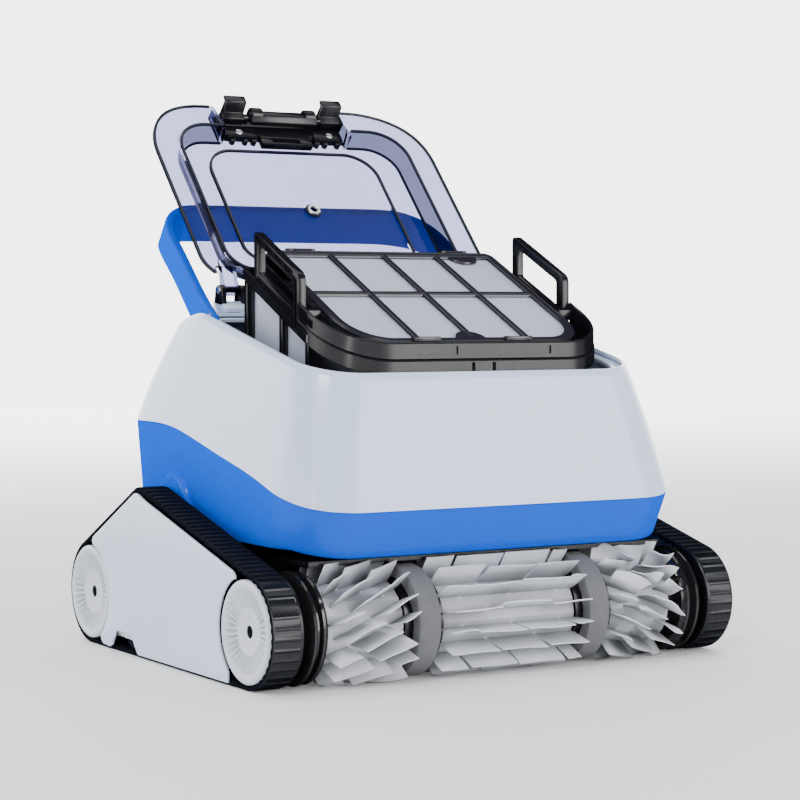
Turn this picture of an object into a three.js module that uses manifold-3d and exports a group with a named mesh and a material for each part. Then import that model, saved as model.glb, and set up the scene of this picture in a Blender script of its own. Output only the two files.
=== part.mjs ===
// Robotic pool cleaner: a tracked hull with two roller brushes, an open clear lid and a raised filter basket.
// Millimetres, +Z up, -Y is the front, the floor is z = 0 and the machine is symmetric about x = 0.
import * as THREE from 'three';
import { mergeVertices } from 'three/addons/utils/BufferGeometryUtils.js';
import Module from 'manifold-3d';

const wasm = await Module();
wasm.setup();

// ---- driving dimensions -------------------------------------------------------------------------
const GAP = 0.3; // air left between neighbours that touch
const FRAME_SHIFT_Y = -14.5; // moves the middle of the whole machine's length onto the origin

const AXLE_Y = 132; // the axles stand this far before and behind the middle of the tracks
const AXLE_Z = 40.5;
const AXLE_R = 5;

const TRACK_IN = 174; // the track runs between these two distances from the middle
const TRACK_OUT = 197.6;
const BELT_THICK = 4;
const BELT_R = 40.5; // outside of the belt round a wheel
const APEX_R = 16.5; // outside of the belt round the drive pulley
const APEX_Y = 43;
const APEX_Z = 112;
const IDLER = { y: 62, z: 14.2, r: 9.8 };
const COVER_IN = 198;
const COVER_OUT = 200;

const WALL = 2.6; // moulded plastic wall
const RIM_Y = -135; // front edge of the hull's rim
const RIM_Z = 216.5;
const RIM_SLOPE = 0.236; // the rim rises towards the back
const DECK_Y = 45; // behind this line the top rounds down to the rear
const DECK_FALL = 0.0041;
const BELT_LINE = [ // the joint between the grey and the blue shell, seen from the side
  [-161, 119], [-133, 128.5], [-91, 143], [-31, 156.5], [33, 172], [56, 175.5], [147, 175.5],
];

const BELT_RING = { front: -161, back: 147, half: 169, frontRadius: 50, backRadius: 50 };
const SHOULDER_RING = { front: -147.5, back: 137, half: 156.5, frontRadius: 45, backRadius: 46 };
const RIM_RING = { front: RIM_Y, back: 114, half: 143, frontRadius: 40, backRadius: 40 };
const DECK_RING = { front: -133.8, back: 82, half: 141.8, frontRadius: 39, backRadius: 26 };
const OPENING_RING = { front: -132.6, back: 48, half: 140.6, frontRadius: 38, backRadius: 14 };
const MOUTH_RING = { front: -130.9, back: 44, half: 131, frontRadius: 36, backRadius: 10 };
const SKIRT_RING = { front: -147, back: 139, half: 164, frontRadius: 46, backRadius: 46 };

const HINGE_Y = 62;
const HINGE_Z = 277;
const HINGE_X = 110; // middle of each lid hinge
const LID_LEAN = 48; // degrees above level when open
const LID_THICK = 2.4;
const LID_FLANGE = 10; // the mating face of the flange, measured from the hinge axis
const LID_DOME = 16; // depth of the dome outside the flange
const LID_EDGE = { front: 2, back: 203.5, half: 130.5, frontRadius: 26, backRadius: 62 };
const LID_WALL_TOP = { front: 12, back: 175, half: 107.5, frontRadius: 22, backRadius: 31 };
const LID_WALL_FOOT = { front: 17, back: 170, half: 104.5, frontRadius: 20, backRadius: 29 };
const LID_PANEL = { front: 36, back: 160, half: 79, frontRadius: 16, backRadius: 26 };
const LID_NOTCH = { half: 11.5, depth: 15.5 }; // the lid's edge is cut away round each hinge block
const LATCH_HALF = 58; // half the width of the latch pocket
const LATCH_U = 189; // latch pivot, from the hinge axis along the lid
const LATCH_N = 6;
const PIN_R = 2;

const BASKET_TILT = 0.488; // slope of the basket's rails and of its top panel
const RAIL = { y: -26, z: 265.2 };
const BASKET_FLOOR = 168;
const TUB_RING = { front: -125, back: 34, half: 113.3, frontRadius: 42, backRadius: 8 };
const BAND_RING = { front: -128, back: 26, half: 122, frontRadius: 46, backRadius: 8 };
const UPPER_RING = { front: -127.4, back: 26, half: 121.6, frontRadius: 46, backRadius: 8 };
const TRAY_RING = { front: -121, back: 27, half: 107, frontRadius: 38, backRadius: 8 };
const PANEL_RING = { front: -121, back: 21, half: 103, frontRadius: 36, backRadius: 8 };
const MESH_RING = { front: -118, back: 18, half: 100, frontRadius: 33, backRadius: 6 };
const BAND_LOW = 9.5; // top of the lower rim band, above the rail line
const BAND_HIGH = 22;
const PANEL_TOP = 19.1;
const PANEL_THICK = 2.7;
const SIDE_BREAK = -67; // the rim bands wrap the front as far back as this

const BRUSH_HALF = 152; // half the length of a brush tube
const BRUSH_CORE_R = 27;
const BRUSH_R = 40.2;
const FOAM_X = 73;
const FOAM_HALF = 9;
const FLANGE_R = 36;

// ---- materials ----------------------------------------------------------------------------------
const paint = (color, roughness, metalness = 0) => ({ color, roughness, metalness });
const GREY = paint(0xd3d6da, 0.25);
const BLUE = paint(0x0f78dc, 0.22);
const BLACK = paint(0x17181a, 0.4);
const RUBBER = paint(0x1b1c1e, 0.75);
const COVER = paint(0xd9dde2, 0.45);
const CLEAR = paint(0xb9bcd2, 0.1);
const MESH = paint(0xb9bfc2, 0.8);
const FOAM = paint(0x85888b, 0.95);
const BLADE = paint(0xd6d7d8, 0.6);
const STEEL = paint(0xb5b8bb, 0.3, 0.9);

// ---- making solids ------------------------------------------------------------------------------
function closedGeometry(geometry) {
  const bare = geometry.index ? geometry.toNonIndexed() : geometry.clone();
  bare.deleteAttribute('normal');
  bare.deleteAttribute('uv');
  const merged = mergeVertices(bare, 1e-4);
  const p = merged.attributes.position;
  const kept = [];
  let volume = 0;
  for (let i = 0; i < merged.index.count; i += 3) {
    const [a, b, c] = [0, 1, 2].map((k) => merged.index.getX(i + k));
    if (a === b || b === c || c === a) continue;
    const [u, v, w] = [a, b, c].map((n) => new THREE.Vector3().fromBufferAttribute(p, n));
    volume += u.dot(v.cross(w));
    kept.push(a, b, c);
  }
  if (volume < 0) kept.reverse();
  merged.setIndex(kept);
  return merged;
}

function solid(geometry) {
  const g = closedGeometry(geometry);
  const vertProperties = new Float32Array(g.attributes.position.array);
  const triVerts = new Uint32Array(g.index.array);
  return new wasm.Manifold(new wasm.Mesh({ numProp: 3, vertProperties, triVerts }));
}

function geometryOf(part) {
  if (part.isBufferGeometry) return closedGeometry(part);
  const mesh = part.getMesh();
  const g = new THREE.BufferGeometry();
  g.setAttribute('position', new THREE.BufferAttribute(new Float32Array(mesh.vertProperties), 3));
  g.setIndex(Array.from(mesh.triVerts));
  return g;
}

function part(name, shape, finish) {
  const geometry = geometryOf(shape);
  geometry.computeVertexNormals();
  const mesh = new THREE.Mesh(geometry, new THREE.MeshStandardMaterial(finish));
  mesh.name = name;
  return mesh;
}

const join = (parts) => parts.reduce((whole, piece) => whole.add(piece));
const cut = (body, tools) => tools.reduce((left, tool) => left.subtract(tool), body);

// a box between two opposite corners
function box([x0, y0, z0], [x1, y1, z1]) {
  const g = new THREE.BoxGeometry(Math.abs(x1 - x0), Math.abs(y1 - y0), Math.abs(z1 - z0));
  return solid(g.translate((x0 + x1) / 2, (y0 + y1) / 2, (z0 + z1) / 2));
}

// a round bar along X
function bar(radius, x0, x1, y, z, sides = 24) {
  const g = new THREE.CylinderGeometry(radius, radius, Math.abs(x1 - x0), sides);
  return solid(g.rotateZ(Math.PI / 2).translate((x0 + x1) / 2, y, z));
}

// a profile of [radius, x] points turned about the X axis
function turned(profile, y, z, sides = 28) {
  const points = profile.map(([r, x]) => new THREE.Vector2(r, x));
  const g = new THREE.LatheGeometry([...points, points[0]], sides);
  return solid(g.rotateZ(-Math.PI / 2).translate(0, y, z));
}

// an outline in the side view, [y, z] points, carried from x0 to x1
const SIDE_VIEW = new THREE.Matrix4().makeBasis(
  new THREE.Vector3(0, 1, 0), new THREE.Vector3(0, 0, 1), new THREE.Vector3(1, 0, 0),
);
function sidePrism(outline, x0, x1, holes = []) {
  const shape = new THREE.Shape(outline.map(([y, z]) => new THREE.Vector2(y, z)));
  for (const hole of holes) {
    shape.holes.push(new THREE.Path(hole.map(([y, z]) => new THREE.Vector2(y, z))));
  }
  const [low, high] = x0 < x1 ? [x0, x1] : [x1, x0];
  const g = new THREE.ExtrudeGeometry(shape, { depth: high - low, bevelEnabled: false });
  return solid(g.applyMatrix4(SIDE_VIEW).translate(low, 0, 0));
}

function arc(cy, cz, radius, from, to, steps) {
  const points = [];
  for (let i = 0; i <= steps; i += 1) {
    const a = from + ((to - from) * i) / steps;
    points.push([cy + radius * Math.cos(a), cz + radius * Math.sin(a)]);
  }
  return points;
}

// a rounded rectangle in plan, anticlockwise from above, its height given by a function of y
const SPANS = { front: 2, side: 6, back: 2, corner: 5 };
function ring(plan, heightAt, inset = 0) {
  const front = plan.front + inset;
  const back = plan.back - inset;
  const half = plan.half - inset;
  const rf = Math.max(plan.frontRadius - inset, 1);
  const rb = Math.max(plan.backRadius - inset, 1);
  const points = [];
  const edge = (a, b, steps) => {
    for (let i = 1; i < steps; i += 1) {
      points.push([a[0] + ((b[0] - a[0]) * i) / steps, a[1] + ((b[1] - a[1]) * i) / steps]);
    }
  };
  const corner = (cx, cy, r, turn) => points.push(...arc(cx, cy, r, turn, turn + Math.PI / 2, SPANS.corner));
  corner(half - rf, front + rf, rf, -Math.PI / 2);
  edge([half, front + rf], [half, back - rb], SPANS.side);
  corner(half - rb, back - rb, rb, 0);
  edge([half - rb, back], [rb - half, back], SPANS.back);
  corner(rb - half, back - rb, rb, Math.PI / 2);
  edge([-half, back - rb], [-half, front + rf], SPANS.side);
  corner(rf - half, front + rf, rf, Math.PI);
  edge([rf - half, front], [half - rf, front], SPANS.front);
  return points.map(([x, y]) => new THREE.Vector3(x, y, heightAt(y)));
}

// skins joining one ring to the next; without caps the last ring meets the first
function loft(rings, capped) {
  const count = rings[0].length;
  const vertices = rings.flat().flatMap((v) => [v.x, v.y, v.z]);
  const index = [];
  const bands = capped ? rings.length - 1 : rings.length;
  for (let i = 0; i < bands; i += 1) {
    const low = i * count;
    const high = ((i + 1) % rings.length) * count;
    for (let j = 0; j < count; j += 1) {
      const k = (j + 1) % count;
      index.push(low + j, low + k, high + k, low + j, high + k, high + j);
    }
  }
  if (capped) {
    const last = (rings.length - 1) * count;
    for (let j = 1; j < count - 1; j += 1) {
      index.push(0, j + 1, j, last, last + j, last + j + 1);
    }
  }
  const g = new THREE.BufferGeometry();
  g.setAttribute('position', new THREE.BufferAttribute(new Float32Array(vertices), 3));
  g.setIndex(index);
  return solid(g);
}

const level = (z) => () => z;

// a wall of the given thickness standing on a plan outline between two height functions
function wallRing(plan, thick, low, high) {
  return loft([ring(plan, low), ring(plan, high), ring(plan, high, thick), ring(plan, low, thick)], false);
}

const sides = [['left', -1], ['right', 1]];
const ends = [['front', -1], ['rear', 1]];

// ---- heights over the hull ----------------------------------------------------------------------
function rimZ(y) {
  const plane = RIM_Z + RIM_SLOPE * (Math.min(y, DECK_Y) - RIM_Y);
  return plane - DECK_FALL * Math.max(y - DECK_Y, 0) ** 2;
}

function beltLineZ(y) {
  const curve = BELT_LINE;
  const last = curve.length - 1;
  if (y <= curve[0][0]) return curve[0][1];
  if (y >= curve[last][0]) return curve[last][1];
  const i = curve.findIndex(([edge]) => edge > y) - 1;
  const t = (y - curve[i][0]) / (curve[i + 1][0] - curve[i][0]);
  return curve[i][1] + t * (curve[i + 1][1] - curve[i][1]);
}

const shoulderZ = (y) => (beltLineZ(y) + rimZ(Math.max(y, RIM_Y))) / 2 + 3;
const skirtZ = (y) => THREE.MathUtils.clamp(87.5 + (y + 147) * 0.26, 87.5, 94);
const railZ = (y) => RAIL.z + BASKET_TILT * (y - RAIL.y);
const aboveRail = (lift) => (y) => railZ(y) + lift;

// ---- hull ---------------------------------------------------------------------------------------
const OUTLET = { y: 86, r: 23 };

// a round bar standing on the pump's axis
function upright(radius, low, high, sidesCount = 24) {
  const g = new THREE.CylinderGeometry(radius, radius, high - low, sidesCount);
  return solid(g.rotateX(Math.PI / 2).translate(0, OUTLET.y, (low + high) / 2));
}

function upperShell() {
  const under = (heightAt) => (y) => heightAt(y) - WALL;
  const skin = loft([
    ring(BELT_RING, beltLineZ),
    ring(SHOULDER_RING, shoulderZ),
    ring(RIM_RING, rimZ),
    ring(DECK_RING, rimZ),
    ring(OPENING_RING, rimZ),
    ring(OPENING_RING, under(rimZ)),
    ring(DECK_RING, under(rimZ), 0.6),
    ring(RIM_RING, under(rimZ), WALL * 0.9),
    ring(SHOULDER_RING, under(shoulderZ), WALL),
    ring(BELT_RING, beltLineZ, WALL),
  ], false);
  return cut(skin, [upright(OUTLET.r + GAP, 225, 275)]);
}

function lowerShell() {
  const top = (y) => beltLineZ(y) - GAP;
  const shell = wallRingBetween(SKIRT_RING, skirtZ, BELT_RING, top, WALL);
  const bosses = sides.map(([, s]) => bar(27, s * 155, s * 170.6, APEX_Y, APEX_Z, 20));
  const bores = sides.map(([, s]) => bar(8, s * 120, s * 180, APEX_Y, APEX_Z, 12));
  const insides = sides.map(([, s]) => bar(24, s * 120, s * 168, APEX_Y, APEX_Z, 20));
  return cut(join([shell, ...bosses]), [...insides, ...bores]);
}

// a wall that leans from one plan outline to another
function wallRingBetween(lowPlan, low, highPlan, high, thick) {
  return loft([
    ring(lowPlan, low),
    ring(highPlan, high, 0.4),
    ring(highPlan, high, thick + 0.4),
    ring(lowPlan, low, thick),
  ], false);
}

function openingFrame() {
  const top = (y) => rimZ(y) - WALL - 1.2;
  const bottom = (y) => rimZ(y) - WALL - 4.2;
  return loft([
    ring(OPENING_RING, bottom, 0.5),
    ring(OPENING_RING, top, 0.5),
    ring(MOUTH_RING, top),
    ring(MOUTH_RING, bottom),
  ], false);
}

// the chassis tub hangs between the two brushes, with two suction mouths in its floor
const TUB_X = 152;
const INTAKE = { y: 38, length: 26, half: 62 };
function chassisTub() {
  const outer = [
    [-138, 83.4], [-90, 83.4], [-84, 76], [-80, 15], [80, 15], [84, 76], [90, 83.4], [132, 83.4],
    [132, 86.6], [-138, 86.6],
  ];
  const inner = [
    [-87.5, 95], [-87.5, 86.2], [-81.4, 77], [-77.4, 18], [77.4, 18], [81.4, 77], [87.5, 86.2], [87.5, 95],
  ];
  const mouths = ends.map(([, s]) => box(
    [-INTAKE.half, s * INTAKE.y - INTAKE.length / 2, 0], [INTAKE.half, s * INTAKE.y + INTAKE.length / 2, 30],
  ));
  return cut(sidePrism(outer, -TUB_X, TUB_X), [sidePrism(inner, 3 - TUB_X, TUB_X - 3), ...mouths]);
}

// the strap of the carry handle: a hoop leaning back, its flat side facing up and forward
function carryHandle() {
  const path = [
    [138, 30, 247], [137, 66, 274.5], [134.5, 100, 301], [130.5, 133, 325], [122, 151, 337],
    [107, 163, 345], [87, 168, 347.6],
  ];
  const widths = [24, 23, 22, 24, 28, 32, 33];
  const backwards = path.map(([x, y, z]) => [-x, y, z]).reverse();
  const spine = [...path, ...backwards];
  const across = [...widths, ...widths.slice().reverse()];
  const widthWay = new THREE.Vector3(0, 0.6, -0.8);
  const thick = 8;
  const sections = spine.map(([x, y, z], i) => {
    const here = new THREE.Vector3(x, y, z);
    const before = new THREE.Vector3(...spine[Math.max(i - 1, 0)]);
    const after = new THREE.Vector3(...spine[Math.min(i + 1, spine.length - 1)]);
    const along = after.sub(before).normalize();
    const inward = new THREE.Vector3().crossVectors(along, widthWay).normalize();
    const corner = (w, t) => here.clone().addScaledVector(widthWay, w).addScaledVector(inward, t);
    const w = across[i];
    return [
      corner(0, 1.5), corner(1.5, 0), corner(w - 1.5, 0), corner(w, 1.5),
      corner(w, thick - 1.5), corner(w - 1.5, thick), corner(1.5, thick), corner(0, thick - 1.5),
    ];
  });
  const deck = [];
  for (let y = -20; y <= 130; y += 6) deck.push([y, rimZ(y) + 2 * GAP]);
  const hull = sidePrism([...deck, [130, 100], [-20, 100]], -170, 170);
  return cut(loft(sections, true), [hull]);
}

function hingeBlock(s) {
  const foot = [[50, 259.4], [72, 256.9], [72, 268], [58, 268], [50, 262.5]];
  const cheek = [[55, 264], [70, 266], [68, 278], [65, 280.6], [59, 280.6], [56, 278]];
  const x = s * HINGE_X;
  return join([
    sidePrism(foot, x - 10.5, x + 10.5),
    sidePrism(cheek, x - 10.5, x - 6.4),
    sidePrism(cheek, x + 6.4, x + 10.5),
    bar(PIN_R, x - 8, x + 8, HINGE_Y, HINGE_Z, 14),
  ]);
}

function pumpUnit() {
  const shape = [[58, 92], [112, 92], [118, 100], [118, 190], [108, 208], [60, 208], [52, 196], [52, 100]];
  const body = sidePrism(shape, -42, 42);
  const neck = upright(OUTLET.r + 3, 200, 224);
  const well = upright(OUTLET.r + 0.5, 209, 249);
  return cut(body.add(neck), [well]);
}

function outletGrille() {
  const low = 230;
  const high = 260;
  const cup = cut(upright(OUTLET.r, low, high), [upright(OUTLET.r - 2.6, low - 1, high + 1)]);
  const reach = OUTLET.r - 1.4;
  const slats = [-14, -7, 0, 7, 14].map((x) => {
    const y = Math.sqrt(reach ** 2 - x ** 2);
    return box([x - 1.2, OUTLET.y - y, high - 4], [x + 1.2, OUTLET.y + y, high - 1]);
  });
  const spine = box([-reach, OUTLET.y - 1.5, high - 5], [reach, OUTLET.y + 1.5, high - 1]);
  return join([cup, spine, ...slats]);
}

function impeller() {
  const middle = 218;
  const hub = upright(6, middle - 7, middle + 7, 16);
  const blades = [];
  const count = 4;
  for (let i = 0; i < count; i += 1) {
    const g = new THREE.BoxGeometry(15, 2, 10).rotateX(0.5).translate(12.5, 0, 0);
    blades.push(solid(g.rotateZ((i * 2 * Math.PI) / count).translate(0, OUTLET.y, middle)));
  }
  return join([hub, ...blades]);
}

function cableGland() {
  const base = new THREE.CylinderGeometry(6.5, 9.5, 16, 20).translate(0, 8.6, 0);
  const stub = new THREE.CylinderGeometry(3.6, 3.6, 6, 14).translate(0, 19, 0);
  return solid(base).add(solid(stub));
}

// ---- tracks -------------------------------------------------------------------------------------
// the loop round both wheels and the drive pulley, pushed inwards by an inset
function trackLoop(inset, steps) {
  const big = BELT_R - inset;
  const small = APEX_R - inset;
  const tangent = (dy, dz) => Math.atan2(dz, dy) + Math.acos((BELT_R - APEX_R) / Math.hypot(dy, dz));
  const frontTurn = tangent(APEX_Y + AXLE_Y, APEX_Z - AXLE_Z);
  const rearTurn = Math.PI - tangent(AXLE_Y - APEX_Y, APEX_Z - AXLE_Z);
  return [
    ...arc(-AXLE_Y, AXLE_Z, big, frontTurn, 1.5 * Math.PI, steps),
    ...arc(AXLE_Y, AXLE_Z, big, -Math.PI / 2, rearTurn, steps),
    ...arc(APEX_Y, APEX_Z, small, rearTurn, frontTurn, Math.round(steps / 3)),
  ];
}

function trackBelt(s) {
  return sidePrism(trackLoop(0, 14), s * TRACK_IN, s * TRACK_OUT, [trackLoop(BELT_THICK, 14).reverse()]);
}

// the plate that closes the outside of a track, cut back round the two wheels
function sideCover(s) {
  const around = BELT_R - 2;
  const outline = [
    [108, 5.2], [104, 2.8], [93, 2.2], [88, 4], [80, 16], [53, 16], [43, 4], [40, 2.2], [-108, 2.2],
    ...arc(-AXLE_Y, AXLE_Z, around, -0.9, 1.12, 10),
    [-117.5, 78], [-114, 81.5], [30, 120], [36, 123.4], [44, 124], [50, 122.5], [54, 119],
    [123, 84.5], [125, 81], [121.5, 77.5],
    ...arc(AXLE_Y, AXLE_Z, around, Math.PI - 1.25, Math.PI + 0.96, 10),
  ];
  const plate = sidePrism(outline, s * COVER_IN, s * COVER_OUT);
  const posts = [[-62, 56], [6, 92], [70, 60]].map(([y, z]) => bar(5, s * 178, s * COVER_IN, y, z, 10));
  return join([plate, ...posts]);
}

// the inner frame plate of a track with its feet on the chassis tub
function trackFrame(s) {
  const plate = [
    [-150, 30], [-140, 20], [140, 20], [150, 30], [150, 52], [60, 112], [54, 122], [44, 125], [34, 122],
    [-140, 66], [-150, 52],
  ];
  const body = sidePrism(plate, s * 171.2, s * 173.6);
  const feet = [-60, 60].map((y) => box([s * (TUB_X + GAP), y - 14, 24], [s * 172, y + 14, 70]));
  const sockets = [[-62, 56], [6, 92], [70, 60]].map(([y, z]) => cut(
    bar(8, s * 172, s * 182, y, z, 12), [bar(5 + GAP, s * 177, s * 190, y, z, 10)],
  ));
  const bores = ends.map(([, e]) => bar(9, s * 165, s * 180, e * AXLE_Y, AXLE_Z, 14));
  bores.push(bar(7, s * 165, s * 180, APEX_Y, APEX_Z, 14));
  return cut(join([body, ...feet, ...sockets]), bores);
}

// toothed drum that carries the belt; its outside is open so the hub disc drops in
function trackWheel(s, y) {
  const r = BELT_R - BELT_THICK - 0.4;
  const profile = [
    [AXLE_R + GAP, 180], [r, 174.6], [r, 194.6], [r - 2.5, 194.6], [r - 2.5, 187], [AXLE_R + GAP, 187],
  ];
  return turned(profile.map(([radius, x]) => [radius, s * x]), y, AXLE_Z, 24);
}

function hubDisc(s, y) {
  const profile = [
    [2.2, 193], [22, 193], [36.2, 195.2], [36.2, 198.6], [33.5, 199.4], [2.2, 195.2],
  ];
  return turned(profile.map(([radius, x]) => [radius, s * x]), y, AXLE_Z, 24);
}

function drivePulley(s) {
  const r = APEX_R - BELT_THICK - 0.4;
  const profile = [
    [2, 150], [5.5, 150], [5.5, 174.6], [r, 174.6], [r, 196.4], [2, 196.4],
  ];
  return turned(profile.map(([radius, x]) => [radius, s * x]), APEX_Y, APEX_Z, 16);
}

function idlerRoller(s) {
  const profile = [[2.6, 176], [IDLER.r, 176], [IDLER.r, 195], [2.6, 195]];
  return turned(profile.map(([radius, x]) => [radius, s * x]), IDLER.y, IDLER.z, 16);
}

function driveMotor(s) {
  const can = bar(17, s * 122, s * 149.6, APEX_Y, APEX_Z, 24);
  return can.add(box([s * 124, APEX_Y - 12, 89], [s * 146, APEX_Y + 12, 100]));
}

// ---- brushes ------------------------------------------------------------------------------------
function brushCore(y) {
  const inner = BRUSH_CORE_R - 3;
  const end = BRUSH_HALF + 7;
  const profile = [
    [AXLE_R + GAP, -end], [FLANGE_R, -end + 3], [FLANGE_R, -BRUSH_HALF],
    [BRUSH_CORE_R, -BRUSH_HALF], [BRUSH_CORE_R, BRUSH_HALF], [FLANGE_R, BRUSH_HALF], [FLANGE_R, end - 3],
    [AXLE_R + GAP, end], [AXLE_R + GAP, BRUSH_HALF], [inner, BRUSH_HALF - 1],
    [inner, 1 - BRUSH_HALF], [AXLE_R + GAP, -BRUSH_HALF],
  ];
  return turned(profile, y, AXLE_Z, 20);
}

function collar(radius, x0, x1, y) {
  const bore = BRUSH_CORE_R + GAP;
  return turned([[bore, x0], [radius, x0], [radius, x1], [bore, x1]], y, AXLE_Z, 20);
}

function axle(y) {
  return bar(AXLE_R, -192.4, 192.4, y, AXLE_Z, 16);
}

// ---- intake flaps -------------------------------------------------------------------------------
const FLAP_Z = 20.6;
function intakeFlap(s) {
  const y0 = s * INTAKE.y - INTAKE.length / 2 - 2;
  const y1 = s * INTAKE.y + INTAKE.length / 2 + 2;
  const plate = box([-INTAKE.half - 4, y0, FLAP_Z - 2], [INTAKE.half + 4, y1, FLAP_Z]);
  const hingeY = s > 0 ? y1 : y0;
  return plate.add(bar(2, -INTAKE.half - 4, INTAKE.half + 4, hingeY, FLAP_Z + 0.4, 14));
}

// ---- lid, drawn lying in its own frame: x across, y from the hinge to the free edge, z inwards ----
function flange(lift) {
  return (u) => LID_FLANGE + lift - 7 * Math.max((u - 165) / 42, 0) ** 2;
}

function lidCover() {
  const dome = LID_FLANGE - LID_DOME;
  const outer = (extra) => level(dome - LID_THICK / 2 - extra);
  const bowl = loft([
    ring(LID_PANEL, outer(1.2)),
    ring(LID_WALL_FOOT, outer(0), -LID_THICK / 2),
    ring(LID_WALL_TOP, flange(-LID_THICK), -LID_THICK / 2),
    ring(LID_EDGE, flange(-LID_THICK)),
    ring(LID_EDGE, flange(0)),
    ring(LID_WALL_TOP, flange(0), LID_THICK / 2),
    ring(LID_WALL_FOOT, level(dome + LID_THICK / 2), LID_THICK / 2),
    ring(LID_PANEL, level(dome + LID_THICK / 2 - 1.2)),
  ], true);
  const floorTop = dome + LID_THICK / 2;
  const room = box([-LATCH_HALF, LATCH_U - 28, floorTop], [LATCH_HALF, 220, 30]);
  const start = LID_WALL_FOOT.back - 1;
  const end = LATCH_U + 11;
  const floor = box([-LATCH_HALF - 2.4, start, floorTop - LID_THICK], [LATCH_HALF + 2.4, end, floorTop]);
  const cheek = [[start, floorTop - LID_THICK], [end, floorTop - LID_THICK], [end, 3], [start, 8.4]];
  const cheeks = [-1, 1].map((s) => sidePrism(cheek, s * LATCH_HALF, s * (LATCH_HALF + 2.4)));
  const notches = [-1, 1].map((s) => box(
    [s * HINGE_X - LID_NOTCH.half, -5, -20], [s * HINGE_X + LID_NOTCH.half, LID_NOTCH.depth, 20],
  ));
  const earBelow = [[-4.6, -2], [0, -4.8], [4, -4.4], [16, 3], [24, 6.6]];
  const ear = [...earBelow, [24, 9.2], [15, 9.2], [4, 4.6], [-3, 3.8]];
  const ears = [-1, 1].map((s) => sidePrism(ear, s * HINGE_X - 6, s * HINGE_X + 6));
  const bores = [-1, 1].map((s) => bar(PIN_R + GAP, s * HINGE_X - 8, s * HINGE_X + 8, 0, 0, 16));
  return cut(join([cut(bowl, [room, ...notches]), floor, ...cheeks, ...ears]), bores);
}

function latchBase() {
  const [y, z] = [LATCH_U, LATCH_N];
  const base = box([-LATCH_HALF + 1.5, y - 17, -4.4], [LATCH_HALF - 1.5, y - 4, 1]);
  const ears = [-1, 1].map((s) => box([s * 55.6, y - 6, -4.4], [s * 57, y + 4, z + 4]));
  const button = box([-24, y - 26, -4.4], [24, y - 16, 2]);
  const slit = box([-14, y - 22.4, -1.5], [14, y - 19.6, 6]);
  return cut(join([base, button, ...ears]), [slit]);
}

// a rod with two hooks that turns in the ears of the latch base
function latchLever() {
  const rod = bar(4, -55.2, 55.2, LATCH_U, LATCH_N, 18);
  const grip = box([-31, LATCH_U - 4, LATCH_N], [31, LATCH_U + 4, LATCH_N + 6.5]);
  const hook = [
    [-4, -5], [3, -5], [6.4, -1], [7.6, 10.6], [11, 11.4], [11, 14], [3.8, 14], [1.6, 4], [-4, 2],
  ].map(([u, n]) => [LATCH_U + u, LATCH_N + n]);
  const hooks = [-1, 1].map((s) => sidePrism(hook, s * 36, s * 55));
  return join([rod, grip, ...hooks]);
}

// ---- basket -------------------------------------------------------------------------------------
function sideWindow(y0, y1, low, drop) {
  return [[y0, low], [y1, low], [y1, railZ(y1) - drop], [y0, railZ(y0) - drop]];
}

function basketTub() {
  const outer = loft([ring(TUB_RING, level(BASKET_FLOOR)), ring(TUB_RING, railZ)], true);
  const hollow = loft([
    ring(TUB_RING, level(BASKET_FLOOR + 3), WALL), ring(TUB_RING, aboveRail(5), WALL),
  ], true);
  const band = cut(
    loft([
      ring(BAND_RING, aboveRail(-1.6)),
      ring(BAND_RING, aboveRail(BAND_LOW)),
      ring(BAND_RING, aboveRail(BAND_LOW), WALL),
      ring(BAND_RING, aboveRail(0.8), WALL),
      ring(TUB_RING, aboveRail(0.8), WALL),
      ring(TUB_RING, aboveRail(-1.6), WALL),
    ], false),
    [box([-140, SIDE_BREAK, 100], [140, 60, 400])],
  );
  const windows = [[-70, -33], [-25, 20]].map(([y0, y1]) => sidePrism(
    sideWindow(y0, y1, 186, 8), -140, 140,
  ));
  const backs = [-1, 1].map((s) => box([s * 6, 25, 186], [s * 104, 40, 280]));
  const drains = [-1, 1].map((s) => box([s * 8, -100, 160], [s * 96, 16, 175]));
  return cut(join([cut(outer, [hollow]), band]), [...windows, ...backs, ...drains]);
}

function sideScreen(s) {
  const x = TUB_RING.half - WALL - GAP;
  return sidePrism(
    [[-73, 180], [23, 180], [23, railZ(23) - 5], [-73, railZ(-73) - 5]], s * (x - 1.2), s * x,
  );
}

function backScreen() {
  const y = TUB_RING.back - WALL - GAP;
  return box([-106, y - 1.2, 180], [106, y, 284]);
}

const PIVOT = { y: 24, z: railZ(24) + PANEL_TOP - 2.6 };
const LUG_X = [-79, -59.6, 59.6, 79]; // lugs either side of each of the panel's two knuckles

// the upper frame: a rim band round the front, and the tray wall that carries the panel
function upperFrame() {
  const lowBand = aboveRail(BAND_LOW + GAP);
  const band = cut(wallRing(UPPER_RING, 2.4, lowBand, aboveRail(BAND_HIGH)), [
    box([-140, SIDE_BREAK, 100], [140, 60, 400]),
  ]);
  const wall = wallRing(TRAY_RING, WALL, aboveRail(0.6), aboveRail(13.4));
  const ties = [-1, 1].map((s) => sidePrism(
    [
      [SIDE_BREAK - 6, railZ(SIDE_BREAK) + 8], [SIDE_BREAK - 0.5, railZ(SIDE_BREAK) + 10.6],
      [SIDE_BREAK - 0.5, railZ(SIDE_BREAK) + 18], [SIDE_BREAK - 6, railZ(SIDE_BREAK) + 16],
    ],
    s * 105.5, s * 120.6,
  ));
  const lugs = LUG_X.map((x) => sidePrism(
    [[24.6, railZ(24) + 8], [27, railZ(24) + 8], [27, PIVOT.z + 2.4], [21, PIVOT.z + 2.4], [21, PIVOT.z - 2]],
    x - 2, x + 2,
  ));
  return join([band, wall, ...ties, ...lugs]);
}

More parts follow.
